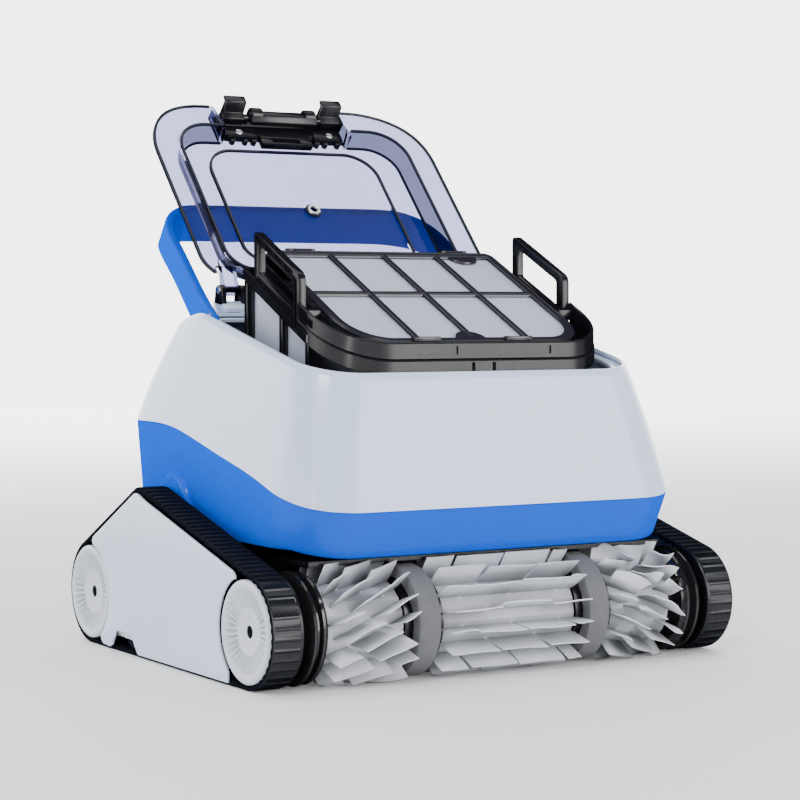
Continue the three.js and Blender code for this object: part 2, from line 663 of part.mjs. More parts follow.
// the top panel: a ribbed frame over one sheet of filter mesh, hinged along its back edge
function panelFrame() {
  const top = aboveRail(PANEL_TOP);
  const under = aboveRail(PANEL_TOP - PANEL_THICK);
  const plate = loft([ring(PANEL_RING, under), ring(PANEL_RING, top)], true);
  const windows = [];
  const columns = 4;
  const pitch = 48;
  const rib = 1.9;
  for (let i = 0; i < columns; i += 1) {
    const x = (i - (columns - 1) / 2) * pitch;
    windows.push(box([x - pitch / 2 + rib, -44, 200], [x + pitch / 2 - rib, 14, 330]));
    windows.push(box([x - pitch / 2 + rib, i % 3 === 0 ? -98 : -114, 200], [x + pitch / 2 - rib, -48, 330]));
  }
  const link = [[18, PIVOT.z - 3.4], [24, PIVOT.z - 1], [24, PIVOT.z + 2.2], [18, PIVOT.z - 0.6]];
  const knuckles = [-1, 1].map((s) => join([
    bar(2.5, s * 62, s * 76.6, PIVOT.y, PIVOT.z, 14),
    sidePrism(link, s * 62, s * 76.6),
  ]));
  const notches = LUG_X.map((x) => box([x - 2.4, 18.4, 200], [x + 2.4, 30, 330]));
  return join([cut(plate, [...windows, ...notches]), ...knuckles]);
}

function panelMesh() {
  const top = aboveRail(PANEL_TOP - PANEL_THICK - GAP);
  const under = aboveRail(PANEL_TOP - PANEL_THICK - GAP - 0.9);
  return loft([ring(MESH_RING, under), ring(MESH_RING, top)], true);
}

function basketHandle(s) {
  const frame = [[-66, -3], [4, -3], [4, 38], [1, 41.5], [-63, 41.5], [-66, 38]];
  const gap = [[-57, 12], [-3, 12], [-3, 34], [-57, 34]];
  const lifted = (outline) => outline.map(([y, lift]) => [y, railZ(y) + lift]);
  const inner = TUB_RING.half + GAP;
  const body = sidePrism(lifted(frame), s * inner, s * (inner + 6.4));
  return cut(body, [sidePrism(lifted(gap), s * 100, s * 140)]);
}

function seatFrame() {
  const plan = { front: -120, back: 30, half: 109, frontRadius: 38, backRadius: 8 };
  return wallRing(plan, 12, level(162.7), level(167.5));
}

// ---- assembly -----------------------------------------------------------------------------------
const machine = new THREE.Group();
machine.position.set(0, FRAME_SHIFT_Y, 0);

const lid = new THREE.Group();
lid.position.set(0, HINGE_Y, HINGE_Z);
lid.rotation.x = THREE.MathUtils.degToRad(LID_LEAN);
lid.add(part('lid_cover', lidCover(), CLEAR));
lid.add(part('latch_base', latchBase(), BLACK));
lid.add(part('latch_lever', latchLever(), BLACK));

machine.add(
  part('upper_shell', upperShell(), GREY),
  part('lower_shell', lowerShell(), BLUE),
  part('opening_frame', openingFrame(), GREY),
  part('chassis_tub', chassisTub(), BLACK),
  part('carry_handle', carryHandle(), BLUE),
  part('pump_unit', pumpUnit(), BLACK),
  part('outlet_grille', outletGrille(), BLACK),
  part('impeller', impeller(), BLACK),
  lid,
);

const gland = part('cable_gland', cableGland(), BLACK);
gland.position.set(70, 141.6, 198);
gland.rotation.x = THREE.MathUtils.degToRad(14);
machine.add(gland);

machine.add(
  part('basket_tub', basketTub(), BLACK),
  part('basket_screen_back', backScreen(), MESH),
  part('basket_upper_frame', upperFrame(), BLACK),
  part('panel_frame', panelFrame(), BLACK),
  part('panel_mesh', panelMesh(), MESH),
  part('basket_seat_frame', seatFrame(), BLACK),
);

for (const [side, s] of sides) {
  machine.add(
    part(`hinge_block_${side}`, hingeBlock(s), BLACK),
    part(`basket_screen_${side}`, sideScreen(s), MESH),
    part(`basket_handle_${side}`, basketHandle(s), BLACK),
    part(`track_belt_${side}`, trackBelt(s), RUBBER),
    part(`side_cover_${side}`, sideCover(s), COVER),
    part(`track_frame_${side}`, trackFrame(s), BLACK),
    part(`drive_pulley_${side}`, drivePulley(s), BLACK),
    part(`idler_roller_${side}`, idlerRoller(s), BLACK),
    part(`drive_motor_${side}`, driveMotor(s), BLACK),
  );
  for (const [end, e] of ends) {
    machine.add(
      part(`${end}_${side}_wheel`, trackWheel(s, e * AXLE_Y), BLACK),
      part(`${end}_${side}_hub`, hubDisc(s, e * AXLE_Y), COVER),
    );
  }
}

for (const [end, e] of ends) {
  const y = e * AXLE_Y;
  const inner = FOAM_X - FOAM_HALF - GAP;
  const outer = FOAM_X + FOAM_HALF + GAP;
  machine.add(
    part(`${end}_axle`, axle(y), STEEL),
    part(`${end}_brush_core`, brushCore(y), BLACK),
    part(`${end}_blades_middle`, collar(BRUSH_R, -inner, inner, y), BLADE),
    part(`${end}_flap`, intakeFlap(e), RUBBER),
  );
  for (const [side, s] of sides) {
    const foam = collar(BRUSH_R, s * (FOAM_X - FOAM_HALF), s * (FOAM_X + FOAM_HALF), y);
    machine.add(
      part(`${end}_blades_${side}`, collar(BRUSH_R, s * outer, s * (BRUSH_HALF - GAP), y), BLADE),
      part(`${end}_foam_${side}`, foam, FOAM),
    );
  }
}

export default machine;
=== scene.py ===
import random
from math import acos, atan2, copysign, cos, dist, hypot, pi, radians, sin

import bmesh
import bpy
from mathutils import Matrix, Vector, noise


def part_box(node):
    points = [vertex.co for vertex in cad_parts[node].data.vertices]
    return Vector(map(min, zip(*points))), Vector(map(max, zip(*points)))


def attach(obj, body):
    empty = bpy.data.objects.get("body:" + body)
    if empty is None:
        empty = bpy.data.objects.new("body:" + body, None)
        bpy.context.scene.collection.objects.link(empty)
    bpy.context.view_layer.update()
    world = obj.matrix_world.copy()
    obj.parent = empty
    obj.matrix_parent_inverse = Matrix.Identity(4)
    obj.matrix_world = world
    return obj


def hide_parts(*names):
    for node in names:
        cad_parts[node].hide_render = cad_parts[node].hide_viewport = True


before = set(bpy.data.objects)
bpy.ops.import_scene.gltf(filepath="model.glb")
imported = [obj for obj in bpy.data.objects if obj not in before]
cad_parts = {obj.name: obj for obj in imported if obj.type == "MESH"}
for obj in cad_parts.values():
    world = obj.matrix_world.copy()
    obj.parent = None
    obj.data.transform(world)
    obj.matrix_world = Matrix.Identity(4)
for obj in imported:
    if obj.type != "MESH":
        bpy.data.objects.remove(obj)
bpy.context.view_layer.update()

MM = 0.001
# where the machine's own y = 0 lies in the shared frame
MID_Y = (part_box("front_left_wheel")[0].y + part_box("rear_left_wheel")[1].y) / 2
SIDES = (("left", -1), ("right", 1))  # with the sign of x
AXLE_Y, AXLE_Z = 132.0, 40.5
ENDS = (("front", -AXLE_Y), ("rear", AXLE_Y))  # with the y of the axle

# tracks
TRACK_IN, TRACK_OUT = 174.0, 197.6
BELT_R, APEX_R, APEX_Y, APEX_Z = 40.5, 16.5, 43.0, 112.0

# hull; each ring is (front, back, half width, front corner, back corner)
WALL = 2.6
RIM_Y, RIM_Z, RIM_SLOPE = -135.0, 216.5, 0.236
DECK_Y, DECK_FALL = 45.0, 0.0041
BELT_LINE = ((-161, 119), (-133, 128.5), (-91, 143), (-31, 156.5), (33, 172), (56, 175.5), (147, 175.5))
BELT_RING = (-161, 147, 169, 50, 50)
SHOULDER_RING = (-147.5, 137, 156.5, 45, 46)
RIM_RING = (-135, 114, 143, 40, 40)
DECK_RING = (-133.8, 82, 141.8, 39, 26)
OPENING_RING = (-132.6, 48, 140.6, 38, 14)
MOUTH_RING = (-130.9, 44, 131, 36, 10)
SKIRT_RING = (-147, 139, 164, 46, 46)

# lid, drawn flat from its hinge line and leant back by the matrix
HINGE_Y, HINGE_Z, HINGE_X, LID_LEAN = 62.0, 277.0, 110.0, 48.0
LID = Matrix.Translation((0, HINGE_Y, HINGE_Z)) @ Matrix.Rotation(radians(LID_LEAN), 4, "X")
LID_EDGE = (2, 203.5, 130.5, 26, 62)
LID_TOP = (12, 175, 107.5, 22, 31)
LID_FOOT = (17, 170, 104.5, 20, 29)
LID_PANEL = (36, 160, 79, 16, 26)
LID_THICK, LID_FLANGE, LID_FLOOR = 2.4, 10.0, -4.8
LID_STUD_Y = 93
LATCH_HALF, LATCH_Y, LATCH_Z, LATCH_ROOM = 58.0, 189.0, 6.0, 161.0

# basket, whose rails slope up to the rear
TILT, RAIL_Y, RAIL_Z = 0.488, -26.0, 265.2
BASKET_FLOOR = 168.0
TUB_RING = (-125, 34, 113.3, 42, 8)
BAND_RING = (-128, 26, 122, 46, 8)
UPPER_RING = (-127.4, 26, 121.6, 46, 8)
TRAY_RING = (-121, 27, 107, 38, 8)
PANEL_RING = (-121, 21, 103, 36, 8)
LIP_RING = (-119.5, 19.5, 101.5, 34.5, 6.5)
BAND_LOW, BAND_HIGH, PANEL_TOP, SIDE_BREAK = 9.5, 22.0, 19.1, -67.0
PANEL_PIVOT_Y, PANEL_LUGS = 24, (-79, -59.6, 59.6, 79)

# brushes
CORE_R, SLEEVE_R, BLADE_R, BRUSH_HALF, FOAM_R, FOAM_X, FOAM_HALF = 27.0, 30.5, 46.2, 152.0, 40.2, 73.0, 9.0

UP = Vector((0, 0, 1))
AXIS_RADIUS = 0.01  # stands for radius 0 in a turned profile
WAVE_BANDS = 3.2  # bands per unit of length in a wave texture of scale 1


# ---- materials ----
def set_sockets(node, sockets):
    for socket, value in sockets.items():
        node.inputs[socket.replace("_", " ")].default_value = value


def add_node(material, kind, **sockets):
    node = material.node_tree.nodes.new("ShaderNode" + kind)
    set_sockets(node, sockets)
    return node


def wire(material, *wires):
    """Links, each given as (from node, output, to node, input)."""
    for source, output, target, socket in wires:
        material.node_tree.links.new(source.outputs[output], target.inputs[socket])


def finish(name, colour, other, rough, rough_spread=0.08, patch=14.0, grain=900.0, bump=0.12, **sockets):
    """A moulded look: slow colour drift, roughness drift and a fine grain in the surface."""
    material = bpy.data.materials.new(name)
    material.use_nodes = True
    bsdf = material.node_tree.nodes["Principled BSDF"]
    at = add_node(material, "TexCoord")
    drift = add_node(material, "TexNoise", Scale=patch, Detail=4.0)
    mix = add_node(material, "Mix")
    mix.data_type = "RGBA"
    mix.inputs[6].default_value = (*colour, 1)
    mix.inputs[7].default_value = (*other, 1)
    low, high = max(rough - rough_spread, 0.02), rough + rough_spread
    spread = add_node(material, "MapRange", From_Min=0.3, From_Max=0.7, To_Min=low, To_Max=high)
    fine = add_node(material, "TexNoise", Scale=grain, Detail=2.0)
    dent = add_node(material, "Bump", Strength=bump, Distance=0.0003)
    wire(material, (at, "Object", drift, "Vector"), (at, "Object", fine, "Vector"),
         (drift, "Fac", mix, "Factor"), (drift, "Fac", spread, "Value"),
         (mix, 2, bsdf, "Base Color"), (spread, "Result", bsdf, "Roughness"),
         (fine, "Fac", dent, "Height"), (dent, "Normal", bsdf, "Normal"))
    set_sockets(bsdf, sockets)
    return material


def woven(name, colour, other, pitch):
    """Fine square mesh cloth, with two crossing sets of threads in the bump."""
    material = finish(name, colour, other, 0.7, grain=1500.0, bump=0.2)
    nodes = material.node_tree.nodes
    waves = []
    for axis in ("X", "Y"):
        wave = add_node(material, "TexWave", Scale=1.0 / pitch / WAVE_BANDS)
        wave.bands_direction = axis
        waves.append(wave)
        wire(material, (nodes["Texture Coordinate"], "Object", wave, "Vector"))
    both = add_node(material, "Math")
    both.operation = "MAXIMUM"
    weave = add_node(material, "Bump", Strength=0.35, Distance=0.0004)
    wire(material, (waves[0], "Fac", both, 0), (waves[1], "Fac", both, 1), (both, "Value", weave, "Height"),
         (nodes["Bump"], "Normal", weave, "Normal"), (weave, "Normal", nodes["Principled BSDF"], "Normal"))
    return material


def calm_edges(material, gloss):
    """Gloss that fades where the surface turns away, as on waxed plastic."""
    facing = add_node(material, "LayerWeight", Blend=0.5)
    fade = add_node(material, "MapRange", From_Min=0.15, From_Max=0.5, To_Min=gloss, To_Max=0.0)
    bsdf = material.node_tree.nodes["Principled BSDF"]
    wire(material, (facing, "Facing", fade, "Value"), (fade, "Result", bsdf, "Specular IOR Level"))


def shade_roots(material, reach):
    """Painted shade: darkens the base colour in narrow gaps, as between crowded fins."""
    nodes = material.node_tree.nodes
    gap = add_node(material, "AmbientOcclusion", Distance=reach)
    gap.samples = 8
    wire(material, (nodes["Mix"], 2, gap, "Color"), (gap, "Color", nodes["Principled BSDF"], "Base Color"))


GREY = finish("grey_gloss", (0.54, 0.64, 0.83), (0.57, 0.67, 0.86), 0.14, 0.03, 5.0, 500.0, 0.03)
BLUE = finish("blue_gloss", (0.0, 0.082, 0.61), (0.0, 0.09, 0.66), 0.16, 0.03, 5.0, 500.0, 0.03)
BLACK = finish("black_satin", (0.004, 0.004, 0.006), (0.009, 0.009, 0.012), 0.24, 0.06, 18.0, 1400.0)
PANEL = finish("panel_satin", (0.012, 0.011, 0.018), (0.020, 0.019, 0.028), 0.2, 0.05, 18.0, 1400.0, 0.1)
GLOSS = finish("black_gloss", (0.006, 0.006, 0.007), (0.012, 0.012, 0.014), 0.12, 0.04, 12.0, 700.0, 0.06)
RUBBER = finish("belt_rubber", (0.004, 0.0045, 0.007), (0.008, 0.009, 0.013), 0.3, 0.08, 22.0, 1100.0, 0.2)
COVER = finish("cover_satin", (0.53, 0.62, 0.78), (0.56, 0.65, 0.81), 0.42, 0.05, 9.0, 1300.0)
HUB = finish("hub_satin", (0.48, 0.51, 0.56), (0.54, 0.57, 0.62), 0.36, 0.05, 30.0, 1300.0, 0.1)
FOAM = finish("sponge", (0.10, 0.103, 0.11), (0.15, 0.153, 0.16), 0.95, 0.03, 60.0, 1500.0, 0.9)
BLADES = finish("blade_pvc", (0.58, 0.60, 0.65), (0.76, 0.78, 0.83), 0.5, 0.1, 40.0, 1200.0, 0.2)
STEEL = finish("ground_steel", (0.5, 0.5, 0.51), (0.6, 0.6, 0.61), 0.28, 0.06, 60.0, 1500.0, 0.15,
               Metallic=1.0)
MESH = woven("filter_mesh", (0.37, 0.41, 0.51), (0.43, 0.47, 0.57), 0.0011)
CLEAR = finish("smoke_clear", (0.23, 0.24, 0.40), (0.26, 0.27, 0.43), 0.03, 0.01, 4.0, 60.0, 0.02,
               Transmission_Weight=1.0, IOR=1.12)
# the clear plastic made darker as painted shade, for the lid's steep walls, cheeks, ears and stud well
SHADED_CLEAR = finish("clear_wall_painted_shade", (0.055, 0.06, 0.11), (0.07, 0.075, 0.13), 0.05, 0.02, 6.0, 90.0, 0.03,
               Transmission_Weight=1.0, IOR=1.07)
# near-black edging as painted shade where the clear lid turns or is seen end on
EDGE_SHADE = finish("painted_edge_shade", (0.006, 0.007, 0.018), (0.010, 0.012, 0.026), 0.2, 0.05, 20.0, 400.0, 0.05)
for deep, gloss in ((BLUE, 0.16), (BLACK, 0.45), (PANEL, 0.6), (RUBBER, 0.4), (GLOSS, 0.6), (EDGE_SHADE, 0.3)):
    calm_edges(deep, gloss)
# painted shade in the gaps between the fins
shade_roots(BLADES, 0.014)


# ---- mesh helpers ----
def place(points, matrix=None):
    """Millimetres in the machine's own frame to metres in the shared frame."""
    if matrix:
        points = [matrix @ Vector(p) for p in points]
    return [Vector((p[0] * MM, p[1] * MM + MID_Y, p[2] * MM)) for p in points]


def link_object(name, mesh):
    obj = bpy.data.objects.new(name, mesh)
    bpy.context.scene.collection.objects.link(obj)
    return obj


def shade(mesh, angle=32):
    """Smooth shading, with the edges that bend by more than the angle left sharp."""
    mesh.polygons.foreach_set("use_smooth", [True] * len(mesh.polygons))
    mesh.set_sharp_from_angle(angle=radians(angle))
    mesh.update()


def build(name, verts, faces, material, matrix=None, angle=32):
    mesh = bpy.data.meshes.new(name)
    mesh.from_pydata([tuple(p) for p in place(verts, matrix)], [], faces)
    bm = bmesh.new()
    bm.from_mesh(mesh)
    bmesh.ops.remove_doubles(bm, verts=bm.verts, dist=1e-6)
    bmesh.ops.recalc_face_normals(bm, faces=bm.faces)
    bm.to_mesh(mesh)
    bm.free()
    mesh.materials.append(material)
    shade(mesh, angle)
    return link_object(name, mesh)


def bake(obj):
    """Applies the modifiers of a piece made here."""
    bpy.context.view_layer.update()
    evaluated = obj.evaluated_get(bpy.context.evaluated_depsgraph_get())
    mesh = bpy.data.meshes.new_from_object(evaluated)
    obj.modifiers.clear()
    obj.data = mesh


def combine(obj, others, operation="DIFFERENCE"):
    """Cuts off or adds other pieces by boolean, and uses them up."""
    for other in others:
        mod = obj.modifiers.new("bool", "BOOLEAN")
        mod.operation = operation
        mod.solver = "EXACT"
        mod.object = other
        bake(obj)
        bpy.data.objects.remove(other)
    shade(obj.data)


def ease(obj, width, angle):
    """A two-step bevel modifier on the sharp edges."""
    mod = obj.modifiers.new("bevel", "BEVEL")
    mod.width = width * MM
    mod.segments = 2
    mod.limit_method = "ANGLE"
    mod.angle_limit = radians(angle)


def rounded(obj, width):
    """The same piece with its edges eased, or as it is where width is 0."""
    if width:
        ease(obj, width, 35)
        bake(obj)
        shade(obj.data, 40)
    return obj


def merge(objs):
    """Joins several pieces of one body into one piece, which keeps their materials."""
    bm = bmesh.new()
    materials = []
    for obj in objs:
        mesh = obj.data.copy()
        mesh.transform(obj.matrix_world)
        start = len(bm.faces)
        bm.from_mesh(mesh)
        bm.faces.ensure_lookup_table()
        slots = []
        for material in obj.data.materials:
            if material not in materials:
                materials.append(material)
            slots.append(materials.index(material))
        for face in bm.faces[start:]:
            face.material_index = slots[min(face.material_index, len(slots) - 1)]
        bpy.data.objects.remove(obj)
    mesh = bpy.data.meshes.new("merged")
    bm.to_mesh(mesh)
    bm.free()
    for material in materials:
        mesh.materials.append(material)
    return link_object("merged", mesh)


def finished(piece, body, node):
    """Makes a piece, or a list of pieces, stand in for a CAD node and ride on its body."""
    obj = merge(piece) if isinstance(piece, list) else piece
    obj.name = f"{node}_visual"
    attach(obj, body)
    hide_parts(node)


def box(name, low, high, material=BLACK, matrix=None, eased=0.0):
    (x0, y0, z0), (x1, y1, z1) = low, high
    verts = [(x, y, z) for x in (x0, x1) for y in (y0, y1) for z in (z0, z1)]
    faces = [(0, 1, 3, 2), (4, 6, 7, 5), (0, 4, 5, 1), (2, 3, 7, 6), (0, 2, 6, 4), (1, 5, 7, 3)]
    return rounded(build(name, verts, faces, material, matrix), eased)


def turned(name, profile, centre, material, steps=64, axis="X", matrix=None):
    """A profile of (radius, along) points turned about an axis. It is closed unless it starts on the axis."""
    cx, cy, cz = centre
    verts, faces, count = [], [], len(profile)
    for i in range(steps):
        a = 2 * pi * i / steps
        for radius, along in profile:
            radius = max(radius, AXIS_RADIUS)
            u, v = radius * cos(a), radius * sin(a)
            verts.append((along, cy + u, cz + v) if axis == "X" else (cx + u, cy + v, along))
    for i in range(steps):
        a, b = i * count, (i + 1) % steps * count
        for j in range(count if profile[0][0] else count - 1):
            k = (j + 1) % count
            faces.append((a + j, a + k, b + k, b + j))
    return build(name, verts, faces, material, matrix)


def rod(name, radius, start, end, centre, material, steps=24, axis="X", matrix=None):
    """A plain cylinder between two places along its axis."""
    profile = [(0, start), (radius, start), (radius, end), (0, end)]
    return turned(name, profile, centre, material, steps, axis, matrix)


def caps_and_sides(count):
    """Faces of a solid whose two ends have count points each."""
    ends = [tuple(range(count)), tuple(range(2 * count - 1, count - 1, -1))]
    return ends + [(i, (i + 1) % count, count + (i + 1) % count, count + i) for i in range(count)]


def prism(name, outline, x0, x1, material=BLACK, matrix=None, holes=(), eased=0.0):
    """A side-view outline of (y, z) points carried across from x0 to x1, with holes cut by boolean."""
    verts = [(x, y, z) for x in (x0, x1) for y, z in outline]
    obj = build(name, verts, caps_and_sides(len(outline)), material, matrix)
    tools = [prism("tool", hole, min(x0, x1) - 5, max(x0, x1) + 5, material, matrix) for hole in holes]
    combine(obj, tools)
    return rounded(obj, eased)


def arc(cy, cz, radius, start, end, steps):
    turns = [start + (end - start) * i / steps for i in range(steps + 1)]
    return [(cy + radius * cos(a), cz + radius * sin(a)) for a in turns]


def ring(plan, height, inset=0.0, corner=12, spans=(8, 24, 8)):
    """A rounded rectangle in plan, anticlockwise from above. Its height is a number or a function of y."""
    front, back, half, front_r, back_r = plan
    front, back, half = front + inset, back - inset, half - inset
    front_r, back_r = max(front_r - inset, 0.6), max(back_r - inset, 0.6)
    corners = ((half - front_r, front + front_r, front_r), (half - back_r, back - back_r, back_r),
               (back_r - half, back - back_r, back_r), (front_r - half, front + front_r, front_r))
    arcs = [arc(x, y, r, (k - 1) * pi / 2, k * pi / 2, corner) for k, (x, y, r) in enumerate(corners)]
    points = []
    for k, steps in enumerate((spans[1], spans[2], spans[1], spans[0])):
        (ax, ay), (bx, by) = arcs[k][-1], arcs[(k + 1) % 4][0]
        points += arcs[k]
        points += [(ax + (bx - ax) * i / steps, ay + (by - ay) * i / steps) for i in range(1, steps)]
    return [Vector((x, y, height(y) if callable(height) else height)) for x, y in points]


def loft(name, rings, material, closed=True, matrix=None, angle=32):
    """A skin over rings of equal length: closed round to the first ring, or capped at both ends."""
    count, verts, faces = len(rings[0]), [p for points in rings for p in points], []
    for i in range(len(rings) if closed else len(rings) - 1):
        a, b = i * count, (i + 1) % len(rings) * count
        faces += [(a + j, a + (j + 1) % count, b + (j + 1) % count, b + j) for j in range(count)]
    if not closed:
        last = (len(rings) - 1) * count
        faces += [tuple(range(count - 1, -1, -1)), tuple(last + j for j in range(count))]
    return build(name, verts, faces, material, matrix, angle)


def tube(name, path, radius, material, sides=10):
    rings = []
    for along, p in zip(directions(path), path):
        u = along.cross(Vector((1, 0, 0))).normalized()
        v = along.cross(u)
        turns = [2 * pi * k / sides for k in range(sides)]
        rings.append([p + u * radius * cos(a) + v * radius * sin(a) for a in turns])
    return loft(name, rings, material, False)


def directions(path):
    """The direction of travel at each point of a path."""
    last = len(path) - 1
    return [(path[min(i + 1, last)] - path[max(i - 1, 0)]).normalized() for i in range(last + 1)]


def rounded_wall(plan, thick, low, high, ease_by):
    """Rings of a standing wall with its four long edges eased."""
    low_eased, high_eased, inner = raised(low, ease_by), raised(high, -ease_by), thick - ease_by
    rows = ((low_eased, 0), (high_eased, 0), (high, ease_by), (high, inner), (high_eased, thick),
            (low_eased, thick), (low, inner), (low, ease_by))
    return [ring(plan, height, inset) for height, inset in rows]


def raised(height, lift):
    return lambda y: height(y) + lift


def rim_z(y):
    return RIM_Z + RIM_SLOPE * (min(y, DECK_Y) - RIM_Y) - DECK_FALL * max(y - DECK_Y, 0) ** 2


def belt_line_z(y):
    if y <= BELT_LINE[0][0]:
        return BELT_LINE[0][1]
    for (y0, z0), (y1, z1) in zip(BELT_LINE, BELT_LINE[1:]):
        if y <= y1:
            return z0 + (z1 - z0) * (y - y0) / (y1 - y0)
    return BELT_LINE[-1][1]


def soft_belt_z(y):
    """The belt line with its corners eased."""
    return sum(belt_line_z(y + d) for d in range(-24, 25, 6)) / 9


def shoulder_z(y):
    return (soft_belt_z(y) + rim_z(max(y, RIM_Y))) / 2 + 3


def skirt_z(y):
    return min(max(87.5 + (y + 147) * 0.26, 87.5), 94)


def rail_z(y):
    return RAIL_Z + TILT * (y - RAIL_Y)


def above_rail(lift):
    return lambda y: rail_z(y) + lift


def between(a, b, t):
    return [p.lerp(q, t) for p, q in zip(a, b)]


# ---- hull ----
def upper_shell():
    foot, middle, head = ring(BELT_RING, soft_belt_z), ring(SHOULDER_RING, shoulder_z), ring(RIM_RING, rim_z)

    def side(t):
        """The wall's section is a parabola through the belt line, the shoulder and the rim."""
        k = ((1 - t) * (1 - 2 * t), 4 * t * (1 - t), t * (2 * t - 1))
        return [a * k[0] + b * k[1] + c * k[2] for a, b, c in zip(foot, middle, head)]

    deck, opening = ring(DECK_RING, rim_z), ring(OPENING_RING, rim_z)
    inside = raised(rim_z, -WALL)
    rings = [side(t) for t in (0.0, 0.015, 0.1, 0.2, 0.3, 0.4, 0.5, 0.6, 0.7, 0.8, 0.88, 0.93, 0.965)]
    rings += [ring(RIM_RING, raised(rim_z, -1.3), 0.25), ring(RIM_RING, raised(rim_z, -0.4), 0.7)]
    rings += [deck, between(deck, opening, 0.35), between(deck, opening, 0.7), opening]
    rings += [ring(OPENING_RING, raised(rim_z, -0.7), 0.4), ring(OPENING_RING, inside, 0.4)]
    rings += [ring(DECK_RING, inside, 0.6), ring(RIM_RING, inside, WALL)]
    rings += [ring(SHOULDER_RING, raised(shoulder_z, -WALL), WALL), ring(BELT_RING, soft_belt_z, WALL)]
    shell = loft("shell", rings, GREY, angle=40)
    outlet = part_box("outlet_grille")
    radius = (outlet[1].x - outlet[0].x) / 2 / MM + 0.3
    y = ((outlet[1].y + outlet[0].y) / 2 - MID_Y) / MM
    cylinder = [(AXIS_RADIUS, 225), (radius, 225), (radius, 275), (AXIS_RADIUS, 275)]
    hole = turned("hole", cylinder, (0, y, 0), GREY, 48, "Z")
    combine(shell, [hole])
    shade(shell.data, 40)
    finished(shell, "hull", "upper_shell")


def lower_shell():
    top = raised(soft_belt_z, -0.35)
    low, high = ring(SKIRT_RING, skirt_z), ring(BELT_RING, top, 0.4)
    rings = [ring(SKIRT_RING, skirt_z, 1.6), ring(SKIRT_RING, raised(skirt_z, 0.4), 0.5)]
    rings += [between(low, high, t) for t in (0.05, 0.2, 0.4, 0.6, 0.8, 0.95)]
    rings += [ring(BELT_RING, raised(top, -0.5), 0.45), ring(BELT_RING, top, 0.9)]
    rings += [ring(BELT_RING, top, WALL + 0.4), ring(SKIRT_RING, skirt_z, WALL)]
    shell = loft("shell", rings, BLUE, angle=40)
    profile = [(8.3, 155), (27, 155), (27, 166), (26.2, 169), (24.5, 170.4), (22, 170.8), (8.3, 170.8)]
    for _, sign in SIDES:
        boss = turned("boss", [(r, sign * x) for r, x in profile], (0, APEX_Y, APEX_Z), BLUE, 72)
        combine(shell, [boss], "UNION")
    shade(shell.data, 40)
    finished(shell, "hull", "lower_shell")


def opening_frame():
    top, bottom = raised(rim_z, -WALL - 1.2), raised(rim_z, -WALL - 4.2)
    rings = [ring(OPENING_RING, bottom, 0.5), ring(OPENING_RING, top, 0.5), ring(MOUTH_RING, top, -0.8)]
    rings += [ring(MOUTH_RING, raised(top, -0.8)), ring(MOUTH_RING, bottom)]
    finished(loft("frame", rings, GREY), "hull", "opening_frame")


def smooth_path(points, steps):
    """Catmull-Rom through rows of numbers."""
    rows = [Vector(p) for p in points]
    rows = [rows[0] * 2 - rows[1], *rows, rows[-1] * 2 - rows[-2]]
    out = []
    for i in range(1, len(rows) - 2):
        a, b, c, d = rows[i - 1:i + 3]
        for j in range(steps):
            t = j / steps
            out.append(0.5 * ((2 * b) + (c - a) * t + (2 * a - 5 * b + 4 * c - d) * t * t
                              + (3 * b - a - 3 * c + d) * t ** 3))
    return out + [rows[-2]]


def carry_handle():
    """A flat strap bent into a hoop. Each row is (x, y, z, width of the strap)."""
    half = [(137.6, 38, 253.4, 24), (137, 66, 274.5, 23), (134.5, 100, 301, 22), (130.5, 133, 325, 24),
            (122, 151, 337, 28), (107, 163, 345, 32), (87, 168, 347.6, 33), (40, 168, 347.6, 33)]
    path = smooth_path(half + [(-x, y, z, w) for x, y, z, w in reversed(half)], 6)
    across, thick, r = Vector((0, 0.6, -0.8)), 8.0, 2.2
    rings = []
    for along, p in zip(directions([p.xyz for p in path]), path):
        inward = along.cross(across).normalized()
        width, section = p[3], []
        for u, v, start in ((r, r, 180), (width - r, r, 270), (width - r, thick - r, 0), (r, thick - r, 90)):
            for k in range(5):
                a = radians(start + 22.5 * k)
                section.append((u + r * cos(a), v + r * sin(a)))
        rings.append([p.xyz + across * u + inward * v for u, v in section])
    finished(loft("strap", rings, BLUE, False, angle=40), "hull", "carry_handle")


def ease_cad(nodes):
    """CAD nodes whose shape is right: their edges are eased and they take a finish."""
    for name, material in nodes.items():
        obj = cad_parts[name]
        obj.data.materials.clear()
        obj.data.materials.append(material)
        weld = obj.modifiers.new("weld", "WELD")
        weld.merge_threshold = 1e-6
        ease(obj, 0.5, 40)


def hinge_block(side, sign):
    x = sign * HINGE_X
    foot = [(50, 259.4), (72, 256.9), (72, 268), (58, 268), (50, 262.5)]
    cheek = [(55, 264), (70, 266), (68, 278), (65, 280.6), (59, 280.6), (56, 278)]
    parts = [prism("foot", foot, x - 10.5, x + 10.5, GREY, eased=0.8)]
    for a, b in ((-10.5, -6.4), (6.4, 10.5)):
        parts += [prism("cheek", cheek, x + a, x + b, eased=0.8)]
    pin = [(0, -11.2), (2.6, -11.2), (3.2, -10.6), (3.2, -10.4), (2, -10.3), (2, 10.3), (3.2, 10.4),
           (3.2, 10.6), (2.6, 11.2), (0, 11.2)]
    parts += [turned("pin", [(r, x + t) for r, t in pin], (0, HINGE_Y, HINGE_Z), STEEL, 24)]
    finished(parts, "hull", f"hinge_block_{side}")


